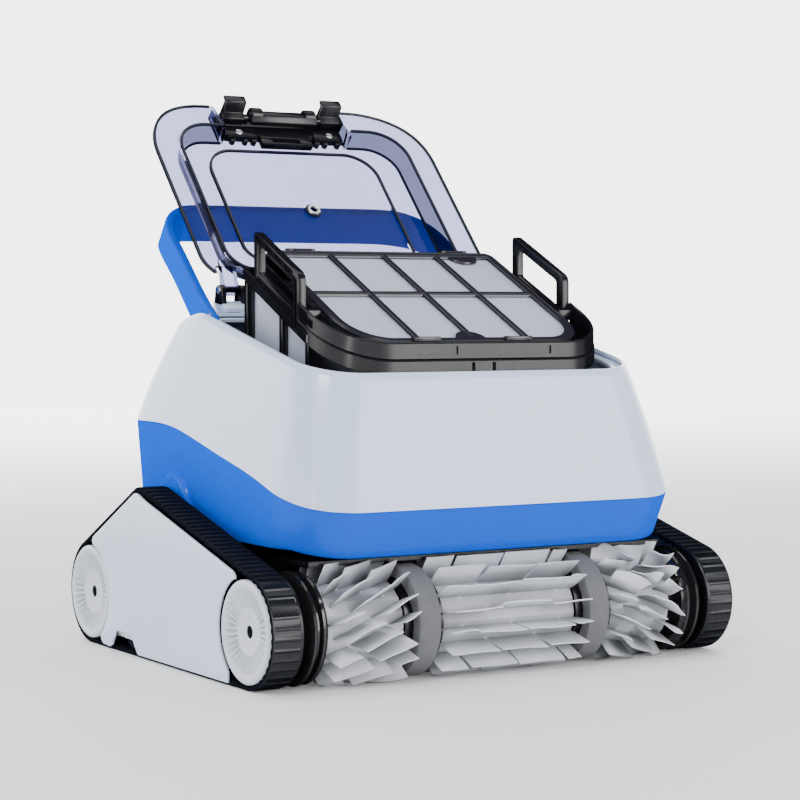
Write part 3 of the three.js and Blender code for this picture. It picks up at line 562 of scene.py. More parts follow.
# ---- tracks ----
def track_loop(count):
    """Evenly spaced points, with outward normals, round both wheels and the drive pulley."""

    def tangent(dy, dz):
        return atan2(dz, dy) + acos((BELT_R - APEX_R) / hypot(dy, dz))

    front = tangent(APEX_Y + AXLE_Y, APEX_Z - AXLE_Z)
    rear = pi - tangent(AXLE_Y - APEX_Y, APEX_Z - AXLE_Z)
    arcs = [(-AXLE_Y, AXLE_Z, BELT_R, front, 1.5 * pi), (AXLE_Y, AXLE_Z, BELT_R, -0.5 * pi, rear),
            (APEX_Y, APEX_Z, APEX_R, rear, front)]
    dense, steps = [], 120
    for cy, cz, r, start, end in arcs:
        for i in range(steps + 1):
            a = start + (end - start) * i / steps
            dense.append((cy + r * cos(a), cz + r * sin(a), cos(a), sin(a)))
    dense.append(dense[0])
    lengths = [0.0]
    for p, q in zip(dense, dense[1:]):
        lengths.append(lengths[-1] + dist(p[:2], q[:2]))
    out, k = [], 0
    for i in range(count):
        at = lengths[-1] * i / count
        while lengths[k + 1] < at:
            k += 1
        t = (at - lengths[k]) / max(lengths[k + 1] - lengths[k], 1e-9)
        out.append([p + (q - p) * t for p, q in zip(dense[k], dense[k + 1])])
    return out


def track_belt(side, sign):
    """A ribbed belt: the groove depths run over one rib, and the teeth inside fill half of it."""
    ribs, depths = 104, (0.0, 0.1, 0.75, 0.8, 0.8, 0.75, 0.65, 0.5)
    samples = len(depths)
    rings = []
    for i, (y, z, out_y, out_z) in enumerate(track_loop(ribs * samples)):
        groove = depths[i % samples]
        tooth = 4.0 if i % samples < samples / 2 else 3.1
        section = [
            (TRACK_IN, 1.0), (TRACK_IN + 0.5, 0.5), (TRACK_IN + 2.2, 0.5), (TRACK_IN + 2.6, groove),
            (TRACK_OUT - 1.2, groove), (TRACK_OUT - 0.9, 0.2), (TRACK_OUT - 0.4, 0.2), (TRACK_OUT, 0.6),
            (TRACK_OUT, tooth), (TRACK_IN, tooth),
        ]
        rings.append([Vector((sign * x, y - out_y * t, z - out_z * t)) for x, t in section])
    finished(loft("belt", rings, RUBBER, angle=24), "hull", f"track_belt_{side}")


def side_cover(side, sign):
    around = BELT_R - 2
    outline = [(108, 5.2), (104, 2.8), (93, 2.2), (88, 4), (80, 16), (53, 16), (43, 4), (40, 2.2),
               (-108, 2.2)]
    outline += arc(-AXLE_Y, AXLE_Z, around, -0.9, 1.12, 30)
    outline += [(-119.5, 76), (-119, 78.3), (-117.3, 80.2), (-114, 81.8), (28, 119.4)]
    outline += arc(APEX_Y, 112.5, 11.5, 2.0, 1.0, 8)
    outline += [(123, 84.8), (125, 82.6), (125.3, 80.3), (124, 78.4)]
    outline += arc(AXLE_Y, AXLE_Z, around, pi - 1.25, pi + 0.96, 30)
    parts = [prism("plate", outline, sign * 198, sign * 200, COVER, eased=0.7)]
    for y, r in ((4, 12), (-46, 13)):
        arch = [(y + r, 7), *arc(y, 38 - r, r, 0, pi, 16), (y - r, 7)]
        parts += [tube("rib", [Vector((sign * 199.9, a, b)) for a, b in arch], 0.45, COVER)]
    cradle = [(50, 12.2), (56, 11.2), (70, 11.6), (84, 13.4), (84, 20), (50, 20)]
    parts += [prism("cradle", cradle, sign * 195.6, sign * 197, HUB, eased=0.4)]
    for y, z in ((-62, 56), (6, 92), (70, 60)):
        parts += [rod("post", 5, sign * 178, sign * 198.4, (0, y, z), COVER, 20)]
    finished(parts, "hull", f"side_cover_{side}")


def hub(end, axle_y, side, sign):
    """Dished disc with a ring of radial flutes, a plugged hole in the middle and a sink mark above it."""
    flutes, steps, rim = 36, 288, 34
    flute_in, flute_out, flute_span, flute_depth = 16.6, 30.4, 13.8, 3.2
    radii = [4.6, 5.0, 8, 12, 15, 16.6, 17.6, 18.8, 20.5, 22.5, 24.5, 26.5, 28, 29.2, 30.4, 31, 33, 34.5,
             35.6, 36.2]
    back = ((36.2, 195.6), (22, 190.9), (4.6, 190.9))
    centre = (0, axle_y, AXLE_Z)
    rings = []
    for i in range(steps):
        a = 2 * pi * i / steps
        wave = (0.5 - 0.5 * cos(flutes * a)) ** 1.5
        section = []
        for r in radii:
            x = 194.8 + 4.4 * min(r / 33.0, 1.0) ** 2.0
            if flute_in < r < flute_out:
                x -= flute_depth * wave * sin(pi * (r - flute_in) / flute_span) ** 0.5
            if r > rim:
                x -= (r - rim) ** 2 * 0.28
            section.append((r, x))
        section += back
        rings.append([(sign * x, centre[1] + r * cos(a), centre[2] + r * sin(a)) for r, x in section])
    disc = loft("disc", rings, HUB, angle=50)
    plug = rod("plug", 4.8, sign * 193.0, sign * 194.2, centre, BLACK)
    dimple = [(0, 195.3), (0.8, 195.3), (1.1, 195.7), (1.5, 195.2), (0, 194.8)]
    mark = turned("mark", [(r, sign * x) for r, x in dimple], (0, centre[1], centre[2] + 9.5), HUB, 20)
    body = f"{end}_brush" if sign < 0 else f"{end}_right_wheel"
    finished([disc, plug, mark], body, f"{end}_{side}_hub")


def idler(side, sign):
    r, profile = 9.8, [(2.6, 176.0)]
    for k in range(9):
        x = 176.4 + k * 2.1
        profile += [(r - 1.6, x), (r - 0.3, x + 0.3), (r, x + 0.7), (r - 0.3, x + 1.1), (r - 1.6, x + 1.4)]
    profile += [(2.6, 195.0)]
    roller = turned("roller", [(q, sign * x) for q, x in profile], (0, 62, 14.2), PANEL, 36)
    finished(roller, f"idler_roller_{side}", f"idler_roller_{side}")


# ---- brushes ----
def blade_rows(name, end, axle_y, x0, x1, fin, skew, crumple, seed):
    """Rows of flat soft fins standing on a sleeve. skew leans the rows, crumple folds some fins about."""
    rng = random.Random(seed)
    rows, tall, gap = 17, BLADE_R - SLEEVE_R, 1.1
    end_cut, root = 5.5, 0.4  # how far a fin's ends slant, how deep its foot sits in the sleeve
    floor_z = 0.9
    across, up = 7, 5
    verts, faces = [], []

    def on_sleeve(x, base):
        a = base + skew * (x - (x0 + x1) / 2) / SLEEVE_R
        return Vector((x, SLEEVE_R * cos(a), SLEEVE_R * sin(a)))

    for row in range(rows):
        base = 2 * pi * row / rows + copysign(0.05, axle_y)
        start = x0 - fin + fin * ((row * 0.5) % 1.0) + 4 * rng.random()
        while start < x1:
            low, high = max(start + gap, x0 + 0.4), min(start + fin - gap, x1 - 5.8)
            lean, wave = rng.uniform(-0.10, 0.10), rng.uniform(0, 6.28)
            worn = max(cos(base - 2.3), 0.15)
            fold = crumple * worn * (0.5 + rng.random()) if rng.random() < 0.8 else 0.0
            start += fin
            if high - low < 6:
                continue
            a, b = on_sleeve(low, base), on_sleeve(high, base)
            out = Vector((0, a.y + b.y, a.z + b.z)).normalized()
            along = (b - a).normalized()
            side = along.cross(out)
            out = (out + side * lean).normalized()
            first = len(verts)
            for i in range(across):
                for j in range(up):
                    u, t = i / (across - 1), j / (up - 1)
                    p = a.lerp(b, u) + out * (tall * t - root) + Vector((end_cut * t, 0, 0))
                    p += side * 0.5 * t * sin(wave + 4.5 * u)
                    if fold:
                        q = Vector((p.x * 0.05, base * 3 + t * 1.1, seed * 1.7 + row))
                        p += side * 8.0 * fold * t * noise.noise(q)
                        p -= out * 3.4 * fold * t * abs(noise.noise(q + Vector((9, 2, 5))))
                        p.x += 5.0 * fold * t * noise.noise(q + Vector((3, 8, 1)))
                    p += Vector((0, axle_y, AXLE_Z))
                    if p.z < floor_z:
                        p.y += copysign((floor_z - p.z) * 0.5, p.y - axle_y + 0.01)
                        p.z = floor_z
                    verts.append(p)
            for i in range(across - 1):
                for j in range(up - 1):
                    k = first + i * up + j
                    faces.append((k, k + 1, k + up + 1, k + up))
    fins = build("fins", verts, faces, BLADES, angle=60)
    solid = fins.modifiers.new("thick", "SOLIDIFY")
    solid.thickness = 0.8 * MM
    solid.offset = 0
    bake(fins)
    shade(fins.data, 50)
    low, high, inner = x0 + 0.2, x1 - 7.5, CORE_R + 0.3
    profile = [(inner, low), (SLEEVE_R, low), (SLEEVE_R, high), (inner, high)]
    sleeve = turned("sleeve", profile, (0, axle_y, AXLE_Z), BLADES, 18)
    shade(sleeve.data, 10)
    finished([fins, sleeve], f"{end}_brush", f"{end}_{name}")


def foam(end, axle_y, side, sign):
    centre, half, edge = sign * FOAM_X, FOAM_HALF, 1.6
    low, high, inner, nearly = centre - half, centre + half, CORE_R + 0.3, FOAM_R - 0.45
    profile = [(inner, low), (FOAM_R - edge, low), (nearly, low + 0.5), (FOAM_R, low + edge),
               (FOAM_R, centre), (FOAM_R, high - edge), (nearly, high - 0.5), (FOAM_R - edge, high),
               (inner, high)]
    obj = turned("foam", profile, (0, axle_y, AXLE_Z), FOAM, 96)
    for p in obj.data.vertices:
        away = Vector((0, p.co.y - MID_Y - axle_y * MM, p.co.z - AXLE_Z * MM))
        if away.length > 0.036:
            p.co += away.normalized() * 0.00025 * noise.noise(p.co * 160)
    finished(obj, f"{end}_brush", f"{end}_foam_{side}")


def brush_core(end, axle_y):
    """The dark drum under the sleeves, with stepped flanges at its ends."""
    half = [(5.4, 170.2), (30, 170.2), (31.5, 169.4), (31.5, 167), (37.5, 166.4), (39.8, 165.6),
            (40.2, 164.4), (39.8, 163.2), (37, 162.6), (35.4, 161.6), (35.4, 158.6), (38.4, 157.8),
            (39.4, 156.6), (38.8, 155.2), (36.4, 154.4), (34.8, 152.6), (CORE_R, 152.4)]
    centre = (0, axle_y, AXLE_Z)
    parts = [turned("drum", half + [(r, -x) for r, x in reversed(half)], centre, GLOSS, 72)]
    for _, sign in SIDES:
        for out in (-1, 1):
            edge = FOAM_X + out * FOAM_HALF
            a, b = sorted((sign * edge, sign * (edge + out * 7)))
            collar = [(CORE_R, a), (SLEEVE_R + 1.4, a + 0.2), (SLEEVE_R + 1.4, b - 0.2), (CORE_R, b)]
            parts += [turned("collar", collar, centre, BLACK, 18)]
    finished(parts, f"{end}_brush", f"{end}_brush_core")


# ---- lid ----
def flange(lift):
    """Height of the flange above the hinge line: flat, then drooping towards the latch edge."""
    return lambda y: LID_FLANGE + lift - 7 * max((y - 165) / 42, 0) ** 2


def lid_cover():
    t = LID_THICK
    outer, inner = LID_FLOOR - t, LID_FLOOR
    foot_out, top_out = ring(LID_FOOT, outer, -t / 2), ring(LID_TOP, flange(-t), -t / 2)
    foot_in, top_in = ring(LID_FOOT, inner, t / 2), ring(LID_TOP, flange(0), t / 2)
    rings = [
        ring(LID_PANEL, outer - 1.2, 8), ring(LID_PANEL, outer - 1.2, 0.8),
        ring(LID_PANEL, outer, -0.8), ring(LID_FOOT, outer, 1.2),
        ring(LID_FOOT, outer + 0.5, -t / 2), between(foot_out, top_out, 0.15),
        between(foot_out, top_out, 0.85), ring(LID_TOP, flange(-t), -t / 2 - 1.0),
        ring(LID_EDGE, flange(-t), 0.7), ring(LID_EDGE, flange(-t + 0.6)), ring(LID_EDGE, flange(-0.6)),
        ring(LID_EDGE, flange(0), 0.7), ring(LID_TOP, flange(0), t / 2 - 1.0),
        between(foot_in, top_in, 0.9), between(foot_in, top_in, 0.12),
        ring(LID_FOOT, inner, t / 2 + 1.2), ring(LID_PANEL, inner, -0.8),
        ring(LID_PANEL, inner - 1.2, 0.8), ring(LID_PANEL, inner - 1.2, 8),
    ]
    bowl = loft("bowl", rings, CLEAR, False, LID, 40)
    tools = [box("room", (-LATCH_HALF, LATCH_ROOM, inner), (LATCH_HALF, 220, 30), CLEAR, LID)]
    for _, sign in SIDES:
        x = sign * HINGE_X
        tools.append(box("notch", (x - 11.5, -5, -20), (x + 11.5, 15.5, 20), CLEAR, LID))
    combine(bowl, tools)
    start, end = LID_FOOT[1] - 1, LATCH_Y + 11
    extra = [box("floor", (-LATCH_HALF - t, start, outer), (LATCH_HALF + t, end, inner), CLEAR, LID)]
    cheek = [(start, outer), (end, outer), (end, 3), (start, 8.4)]
    ear = [(-4.6, -2), (-3.2, -4), (0, -4.8), (4, -4.4), (16, 3), (24, 6.6), (24, 9.2), (15, 9.2), (4, 4.6),
           (0, 4.7), (-3, 3.8)]
    # the cheeks and ears take the clear material darkened as painted shade
    for _, sign in SIDES:
        extra.append(prism("cheek", cheek, sign * LATCH_HALF, sign * (LATCH_HALF + t), SHADED_CLEAR, LID))
        x = sign * HINGE_X
        extra.append(prism("ear", ear, x - 6, x + 6, SHADED_CLEAR, LID))
    combine(bowl, extra, "UNION")
    bores = [rod("bore", 2.3, sign * HINGE_X - 8, sign * HINGE_X + 8, (0, 0, 0), SHADED_CLEAR, matrix=LID)
             for _, sign in SIDES]
    combine(bowl, bores)
    # painted shade on the steep faces of the bowl
    paint_wall_shade(bowl.data)
    # the stud's dark foot ring and its well are painted shade of the clear dimple
    stud = (0, LID_STUD_Y, 0)
    bead = [(4.4 + 1.4 * cos(a), inner + 1.0 + 1.3 * sin(a)) for a in (0, 1.05, 2.09, 3.14, 4.19, 5.24)]
    foot = [(5.2, inner - 1), (6.9, inner - 1), (6.9, inner + 0.5), (5.2, inner + 0.5)]
    finished([
        bowl,
        turned("bead", bead, stud, STEEL, 40, "Z", LID),
        turned("foot", foot, stud, EDGE_SHADE, 40, "Z", LID),
        rod("well", 3.4, inner - 0.6, inner + 0.3, stud, SHADED_CLEAR, 24, "Z", LID),
        *lid_lines(LID_TOP, flange(0.15), 0.2, 1.4),
        *lid_lines(LID_FOOT, inner + 0.2, 2.0, 1.25),
        *lid_lines(LID_PANEL, inner + 0.05, 0.0, 1.4),
        *lid_lines(LID_EDGE, flange(-t / 2), 0.3, 1.6),
    ], "lid", "lid_cover")


def lid_lines(plan, height, inset, radius):
    """Painted shade: thin dark lines where the clear wall turns, standing for the edge of the sheet seen end
    on.
    """
    keep = []
    for p in ring(plan, height, inset, spans=(60, 24, 60)):
        in_room = abs(p.x) < LATCH_HALF + 2.4 and p.y > LATCH_ROOM
        at_hinge = abs(abs(p.x) - HINGE_X) < 12.5 and p.y < 16.5
        keep.append(None if in_room or at_hinge else p)
    paths, path = [], []
    for p in [*keep, keep[0], None]:
        if p is not None:
            path.append(p)
            continue
        if len(path) > 2:
            paths.append(path)
        path = []
    return [line_along(path, radius) for path in paths]


def line_along(path, radius):
    rings = []
    for along, p in zip(directions(path), path):
        side = along.cross(UP).normalized()
        rings.append([p + side * radius * cos(a) + UP * radius * sin(a) for a in (0.8, 2.4, 3.9, 5.5)])
    return loft("line", rings, EDGE_SHADE, False, LID)


def paint_wall_shade(mesh):
    """Painted shade: the steep faces of the dome take a darker clear material, so the wall reads darker than
    the flat sheet.
    """
    mesh.materials.append(SHADED_CLEAR)
    up = (LID.to_3x3() @ UP).normalized()
    for face in mesh.polygons:
        if abs(face.normal.dot(up)) < 0.75:
            face.material_index = 1


def latch_box(name, low, high, eased=0.8, material=BLACK):
    """A block on the lid, with its y given from the latch's axis."""
    (x0, x1), y0, y1 = sorted((low[0], high[0])), LATCH_Y + low[1], LATCH_Y + high[1]
    return box(name, (x0, y0, low[2]), (x1, y1, high[2]), material, LID, eased)


def latch():
    y, z, under = LATCH_Y, LATCH_Z, -4.4
    parts = [latch_box("base", (-56.5, -17, under), (56.5, -4, 0.6)),
             latch_box("plate", (-57.2, -18, -4.6), (57.2, 8, -3.4), 0.3)]
    screw = [(0, 3.4), (1.1, 3.4), (1.2, 2.9), (2.6, 3.1), (3.0, 2.6), (3.0, 1.6), (0, 1.6)]
    pip = [(0, 0.4), (2.2, 0.4), (2.5, -0.2), (2.5, under), (0, under)]
    for _, sign in SIDES:
        parts += [latch_box("ear", (sign * 55.6, -6, under), (sign * 57, 4, z + 4), 0.4)]
        parts += [latch_box("pad", (sign * 28, -19, under), (sign * 55, -7.5, 2.2), 0.9)]
        parts += [turned("screw", screw, (sign * 43, y - 13.5, 0), STEEL, 24, "Z", LID)]
        x = sign * 43
        parts += [latch_box("slot", (x - 2.2, -13.9, 2.9), (x + 2.2, -13.1, 3.5), 0, GLOSS)]
        for x in (30, 38, 50):
            parts += [turned("pip", pip, (sign * x, y - 20.5, 0), BLACK, 16, "Z", LID)]
    parts += [latch_box("button_top", (-24, -26, under), (24, -23, 1.8))]
    parts += [latch_box("button_foot", (-24, -19.4, under), (24, -16, 1.8))]
    for x in (-24, 13):
        parts += [latch_box("button_end", (x, -26, under), (x + 11, -16, 1.4))]
    parts += [latch_box("slit", (-14, -24, -4.3), (14, -18, -3.8), 0, HUB)]
    finished(parts, "lid", "latch_base")

    half, step = 55.2, 30.2 * 55.2 / 31
    shaft = [(0, -half), (3.2, -half), (3.2, -step), (3.2, step), (3.2, half), (0, half)]
    parts = [turned("shaft", shaft, (0, y, z), BLACK, 32, matrix=LID)]

    def form(name, outline, x0, x1, eased):
        outline = [(y + u, z + v) for u, v in outline]
        return prism(name, outline, x0, x1, BLACK, LID, eased=eased)

    grip = [(-8, -0.8), (4.5, -0.8), (4.8, 3.2), (3, 6.2), (-3, 6.8), (-8, 3.4)]
    cap = [(0, 20), (5.4, 20), (6.4, 20.8), (6.4, 29.6), (5.4, 30.6), (0, 30.6)]
    hook = [(-4, -5), (3, -5), (6.0, -2), (7.0, 2), (7.6, 10.4), (8.6, 11.3), (11.4, 11.6), (11.6, 13.6),
            (10.8, 14.2), (4.6, 14.2), (3.6, 13), (1.6, 4), (-4, 2)]
    web = [(-4, -4.6), (2, -4.6), (2, 2), (-4, 1.6)]
    parts += [form("grip", grip, -31, 31, 0.9)]
    for _, sign in SIDES:
        parts += [turned("cap", [(r, sign * x) for r, x in cap], (0, y + 1, z + 2.4), BLACK, 32, matrix=LID)]
        parts += [form("hook", hook, sign * 36, sign * 55, 0.7)]
        parts += [form("web", web, sign * 32.5, sign * 34.5, 0.4)]
    finished(parts, "latch", "latch_lever")


# ---- basket ----
def behind_break():
    return box("tool", (-140, SIDE_BREAK, 100), (140, 60, 400))


def on_rail(points):
    """(y, height above the rail) to (y, z)."""
    return [(y, rail_z(y) + lift) for y, lift in points]


def sloped_bar(name, a, b, width, height, material=PANEL, ease_by=0.8):
    """A straight rib from a to b with its foot on that line and its upper long edges eased."""
    a, b = Vector(a), Vector(b)
    along = (b - a).normalized()
    side = along.cross(UP).normalized()
    up = side.cross(along)
    half, inner, eased_z = width / 2, width / 2 - ease_by, height - ease_by
    section = [(-half, 0), (-half, eased_z), (-inner, height), (inner, height), (half, eased_z), (half, 0)]
    rings = [[p + side * x + up * z for x, z in section] for p in (a, b)]
    return loft(name, rings, material, False)


def basket_tub():
    thick = WALL - 0.4
    tub = loft("tub", [
        ring(TUB_RING, BASKET_FLOOR, 2), ring(TUB_RING, BASKET_FLOOR + 2),
        ring(TUB_RING, above_rail(-0.6)), ring(TUB_RING, above_rail(0), 0.6),
        ring(TUB_RING, above_rail(0), thick), ring(TUB_RING, BASKET_FLOOR + 3, WALL),
    ], BLACK, False)
    tools = []
    for y0, y1 in ((-70, -33), (-25, 20)):
        window = [(y0, 186), (y1, 186), *on_rail([(y1, -8), (y0, -8)])]
        tools.append(prism("tool", window, -140, 140))
    for _, sign in SIDES:
        tools.append(box("tool", (min(sign * 6, sign * 104), 25, 186), (max(sign * 6, sign * 104), 40, 280)))
        tools.append(box("tool", (min(sign * 8, sign * 96), -100, 160), (max(sign * 8, sign * 96), 16, 175)))
    combine(tub, tools)
    band = loft("band", [
        ring(BAND_RING, above_rail(-1.0)), ring(BAND_RING, above_rail(BAND_LOW - 0.7)),
        ring(BAND_RING, above_rail(BAND_LOW), 0.7), ring(BAND_RING, above_rail(BAND_LOW), WALL),
        ring(BAND_RING, above_rail(0.8), WALL), ring(TUB_RING, above_rail(0.8), WALL),
        ring(TUB_RING, above_rail(-1.6), WALL), ring(BAND_RING, above_rail(-1.6), 0.6),
    ], BLACK)
    combine(band, [behind_break()])
    parts = [tub, band]
    clip_y = SIDE_BREAK - 16
    z, clip_z = rail_z(-128), rail_z(clip_y)
    for _, sign in SIDES:
        x = sign * (TUB_RING[2] + 0.6)
        ends = [(x, y, rail_z(y) - 8.4) for y in (SIDE_BREAK - 2, 33.5)]
        parts += [sloped_bar("rail", *ends, 2.2, 8.2, BLACK, 0.6)]
        for y in (-29, -68.6, 27):
            low, high = (x - 1.1, y - 2.6, 184), (x + 1.1, y + 2.6, rail_z(y - 2.6) - 6)
            parts += [box("post", low, high, eased=0.5)]
        low, high = (sign * 121.6, clip_y - 0.8, clip_z + 0.6), (sign * 122.7, clip_y + 1, clip_z + 6)
        parts += [box("clip", low, high, FOAM, None, 0.3)]
        for x in (-9, 9):
            parts += [box("fin", (x - 0.8, -129.2, z + 0.2), (x + 0.8, -127.6, z + 8), eased=0.4)]
    finished(parts, "basket", "basket_tub")


def upper_frame():
    outside = rounded_wall(UPPER_RING, 2.6, above_rail(BAND_LOW + 0.3), above_rail(BAND_HIGH), 0.8)
    band = loft("band", outside, BLACK)
    z = rail_z(-127.4)
    spans = ((-62, -22), (24, 60))
    recesses = [box("tool", (x0, -130, z + 13.4), (x1, -126.2, z + 19.4)) for x0, x1 in spans]
    combine(band, [behind_break(), *recesses])
    tray = loft("tray", rounded_wall(TRAY_RING, WALL, above_rail(0.6), above_rail(13.4), 0.6), BLACK)
    parts = [band, tray]
    back, z = SIDE_BREAK, rail_z(SIDE_BREAK)
    tie = [(back - 6, z + 8), (back - 0.5, z + 10.6), (back - 0.5, z + 18), (back - 6, z + 16)]
    for _, sign in SIDES:
        parts += [prism("tie", tie, sign * 105.5, sign * 120.6, eased=0.5)]
        for k in range(7):
            y = back - 4.4 - 2.6 * k
            low, high = (sign * 121.2, y - 0.6, rail_z(y) + 12.6), (sign * 122.1, y + 0.6, rail_z(y) + 18.6)
            parts += [box("side_rib", low, high)]
    z = rail_z(PANEL_PIVOT_Y)
    pivot_z = z + PANEL_TOP - 2.6
    lug = [(24.6, z + 8), (27, z + 8), (27, pivot_z + 2.4), (21, pivot_z + 2.4), (21, pivot_z - 2)]
    for x in PANEL_LUGS:
        parts += [prism("lug", lug, x - 2, x + 2, eased=0.4)]
    finished(parts, "basket", "basket_upper_frame")


def top_panel():
    top, under = above_rail(PANEL_TOP), above_rail(PANEL_TOP - 2.7)
    lip, lip_foot = above_rail(PANEL_TOP + 0.5), above_rail(PANEL_TOP - 1)
    parts = [loft("rim", rounded_wall(PANEL_RING, 7.5, under, top, 0.8), PANEL),
             loft("lip", rounded_wall(LIP_RING, 1.4, lip_foot, lip, 0.4), PANEL)]

    def spot(x, y, lift=0.0):
        return x, y, rail_z(y) + PANEL_TOP - 2.2 + lift

    for x in (-48, 0, 48):
        parts += [sloped_bar("rib", spot(x, -114), spot(x, 15), 4.4, 2.2)]
        for d in (-1.3, 1.3):
            parts += [sloped_bar("edge", spot(x + d, -114, 1.8), spot(x + d, 15, 1.8), 0.9, 0.7, PANEL, 0.25)]
    parts += [cross_rib(97, -46, 2.2)]
    for x, y, facing in ((-2, -114, 1), (72, 14, -1)):
        parts += [half_disc(x, y, facing, 12.5)]
    z = rail_z(-119) + PANEL_TOP
    for x in (-44, 36):
        parts += [box("tab", (x - 11.5, -121.6, z - 2.4), (x + 11.5, -116.4, z + 3.2), PANEL, None, 0.8)]
        parts += [box("tab_face", (x - 9, -122.0, z - 0.7), (x + 9, -121.2, z + 1.6), RUBBER, None, 0.2)]
    pivot_z = rail_z(PANEL_PIVOT_Y) + PANEL_TOP - 2.6
    barrel = [(0, 62), (2.2, 62), (2.5, 62.3), (2.5, 76.3), (2.2, 76.6), (0, 76.6)]
    link = [(18, pivot_z - 3.4), (24, pivot_z - 1), (24, pivot_z + 2.2), (18, pivot_z - 0.6)]
    for _, sign in SIDES:
        knuckle = [(r, sign * x) for r, x in barrel]
        parts += [turned("knuckle", knuckle, (0, PANEL_PIVOT_Y, pivot_z), PANEL, 28)]
        parts += [prism("link", link, sign * 62, sign * 76.6, PANEL, eased=0.3)]
    panel = merge(parts)
    notches = [box("tool", (x - 2.4, 18.4, 200), (x + 2.4, 30, 330)) for x in PANEL_LUGS]
    combine(panel, notches)
    finished(panel, "basket_panel", "panel_frame")


def cross_rib(reach, y, half):
    """The rib across the panel, with its upper edges eased."""
    section = [(-half, -2.2), (-half, -0.6), (0.7 - half, 0.1), (half - 0.7, 0.1), (half, -0.6), (half, -2.2)]
    verts = [(x, y + d, rail_z(y + d) + PANEL_TOP + h) for x in (-reach, reach) for d, h in section]
    return build("cross", verts, caps_and_sides(len(section)), PANEL)


def half_disc(x, y, facing, radius):
    """A flat thumb tab standing out from the frame into a window."""
    turns = [pi * i / 20 for i in range(21)]
    edge = [(x + radius * cos(a), y + facing * 0.75 * radius * sin(a)) for a in turns]
    verts = [(px, py, rail_z(py) + PANEL_TOP - d) for d in (2.0, 0.2) for px, py in edge]
    return build("tab", verts, caps_and_sides(len(edge)), PANEL)


def basket_handle(side, sign):
    inner = TUB_RING[2] + 0.3
    frame_line = on_rail([(-66, -3), (4, -3), (4, 37), (3, 40), (0, 41.5), (-62, 41.5), (-65, 40), (-66, 37)])
    gap = on_rail([(-57, 13), (-56, 12), (-4, 12), (-3, 13), (-3, 33), (-4, 34), (-56, 34), (-57, 33)])
    body = prism("body", frame_line, sign * inner, sign * (inner + 6.4), BLACK, holes=[gap], eased=0.9)
    grooves = [(y, y + 9, 36.2, 39.2, 5.2) for y in (-54, -39, -24, -9)]
    grooves += [(-62.5, -60.5, 0, 36, 5.4), (-58, -2, 5, 9, 5.2)]
    tools = []
    for y0, y1, low, high, depth in grooves:
        outline = on_rail([(y0, low), (y1, low), (y1, high), (y0, high)])
        tools.append(prism("tool", outline, sign * (inner + depth), sign * (inner + 8)))
    combine(body, tools)
    finished(body, "basket", f"basket_handle_{side}")


# ---- assembly ----
upper_shell()
lower_shell()
opening_frame()
carry_handle()
lid_cover()
latch()
basket_tub()
upper_frame()
top_panel()
for side, sign in SIDES:
    hinge_block(side, sign)
    track_belt(side, sign)
    side_cover(side, sign)
    idler(side, sign)
    basket_handle(side, sign)
    for end, axle_y in ENDS:
        hub(end, axle_y, side, sign)
        foam(end, axle_y, side, sign)
for k, (end, axle_y) in enumerate(ENDS):
    brush_core(end, axle_y)
    inner, outer = FOAM_X - FOAM_HALF - 0.3, FOAM_X + FOAM_HALF + 0.3
    blade_rows("blades_left", end, axle_y, -BRUSH_HALF + 1, -outer, 30.0, -0.42, 0.0, 11 + k)
    blade_rows("blades_middle", end, axle_y, -inner, inner, 42.0, 0.0, 0.2, 21 + k)
    blade_rows("blades_right", end, axle_y, outer, BRUSH_HALF - 1, 30.0, 0.42, 2.0, 31 + k)
plain = {name: BLACK for name in ("chassis_tub", "pump_unit", "outlet_grille", "impeller", "cable_gland",
                                  "basket_seat_frame")}
for end, _ in ENDS:
    plain[f"{end}_axle"] = STEEL
    plain[f"{end}_flap"] = RUBBER
    for side, _ in SIDES:
        plain[f"{end}_{side}_wheel"] = BLACK
for side, _ in SIDES:
    for part in ("track_frame", "drive_pulley", "drive_motor"):
        plain[f"{part}_{side}"] = BLACK
ease_cad(plain)
for name in ("basket_screen_back", "basket_screen_left", "basket_screen_right", "panel_mesh"):
    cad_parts[name].data.materials.clear()
    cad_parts[name].data.materials.append(MESH)


# ---- stage ----
def floor():
    """A round pale floor that sweeps up into a wall."""
    wall_foot, sweep = 3800, 2600
    turns = [0.13 * k for k in range(13)]
    wall = [(wall_foot + sweep * sin(a), sweep - sweep * cos(a)) for a in turns]
    profile = [(0, 0), (1000, 0), *wall, (6400, 3400)]
    turned("floor", profile, (0, -MID_Y / MM, 0), glowing_floor(), 96, "Z")


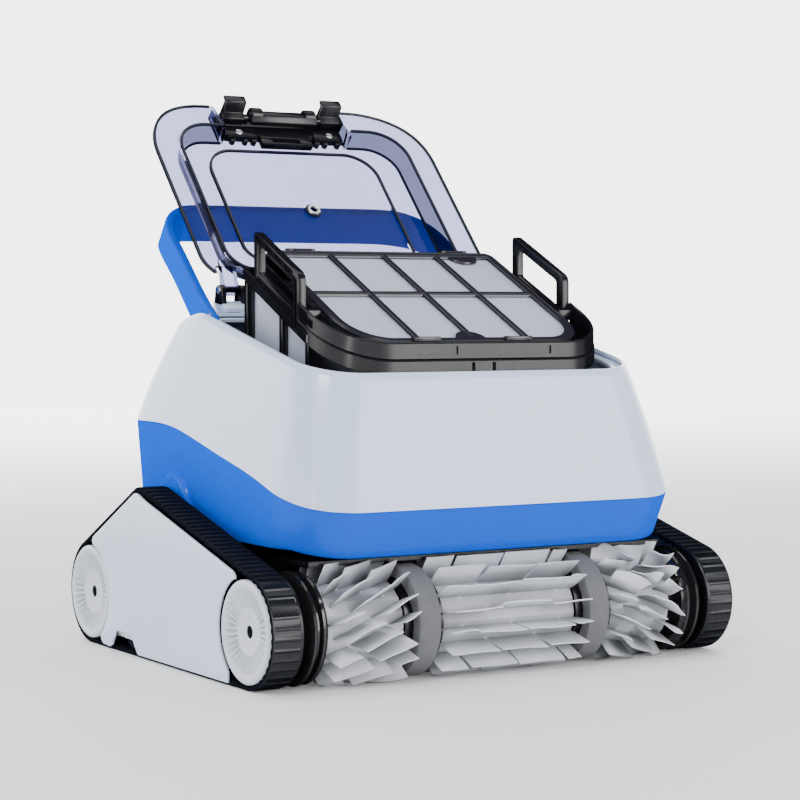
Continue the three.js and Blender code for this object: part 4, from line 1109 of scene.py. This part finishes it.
def glowing_floor():
    """Faintly self-lit, more so far from the object and behind it."""
    pale = finish("floor_pale", (0.84, 0.845, 0.85), (0.86, 0.86, 0.865), 0.7, 0.05, 2.0, 40.0, 0.0)
    at, bsdf = pale.node_tree.nodes["Texture Coordinate"], pale.node_tree.nodes["Principled BSDF"]
    away = add_node(pale, "VectorMath")
    away.operation = "LENGTH"
    split = add_node(pale, "SeparateXYZ")
    behind = add_node(pale, "MapRange", From_Min=0.0, From_Max=3.5, To_Min=0.1, To_Max=1.0)
    behind.interpolation_type = "SMOOTHSTEP"
    shine = add_node(pale, "Math")
    shine.operation = "MULTIPLY"
    glow = add_node(pale, "MapRange", From_Min=0.3, From_Max=3.0, To_Min=1.0, To_Max=3.4)
    glow.interpolation_type = "SMOOTHSTEP"
    wire(pale, (at, "Object", away, 0), (away, "Value", glow, "Value"), (at, "Object", split, "Vector"),
         (split, "Y", behind, "Value"), (glow, "Result", shine, 0), (behind, "Result", shine, 1),
         (shine, "Value", bsdf, "Emission Strength"))
    set_sockets(bsdf, {"Emission Color": (1, 1, 1, 1)})
    return pale


def softbox(name, at, aim_z, width, height, power):
    light = bpy.data.lights.new(name, "AREA")
    light.shape = "RECTANGLE"
    light.size, light.size_y, light.energy = width, height, power
    obj = link_object(name, light)
    obj.location = at
    obj.rotation_mode = "QUATERNION"
    obj.rotation_quaternion = (Vector((0, 0, aim_z)) - Vector(at)).to_track_quat("-Z", "Y")


def camera():
    data = bpy.data.cameras.new("camera")
    data.lens, data.sensor_width = 101.7, 36.0
    obj = link_object("camera", data)
    obj.location = (-0.907, -1.505 + MID_Y, 0.263)
    obj.rotation_euler = (radians(90 - 2.34), 0, radians(-31.24))
    bpy.context.scene.camera = obj


def studio_world():
    world = bpy.data.worlds.new("studio")
    world.use_nodes = True
    set_sockets(world.node_tree.nodes["Background"], {"Color": (1, 1, 1, 1), "Strength": 0.12})
    bpy.context.scene.world = world


studio_world()
floor()
softbox("key", (-1.7, -1.2, 2.3), 0.15, 0.9, 0.9, 47)
softbox("overhead_left", (-0.6, 0.4, 3.0), 0.2, 1.3, 2.6, 30)
softbox("overhead_right", (1.5, 0.4, 3.0), 0.2, 1.5, 2.6, 38)
softbox("front", (1.7, -2.5, 0.95), 0.2, 1.8, 1.9, 66)
softbox("strip", (-2.3, -1.7, 0.8), 0.2, 0.3, 1.5, 12)
camera()
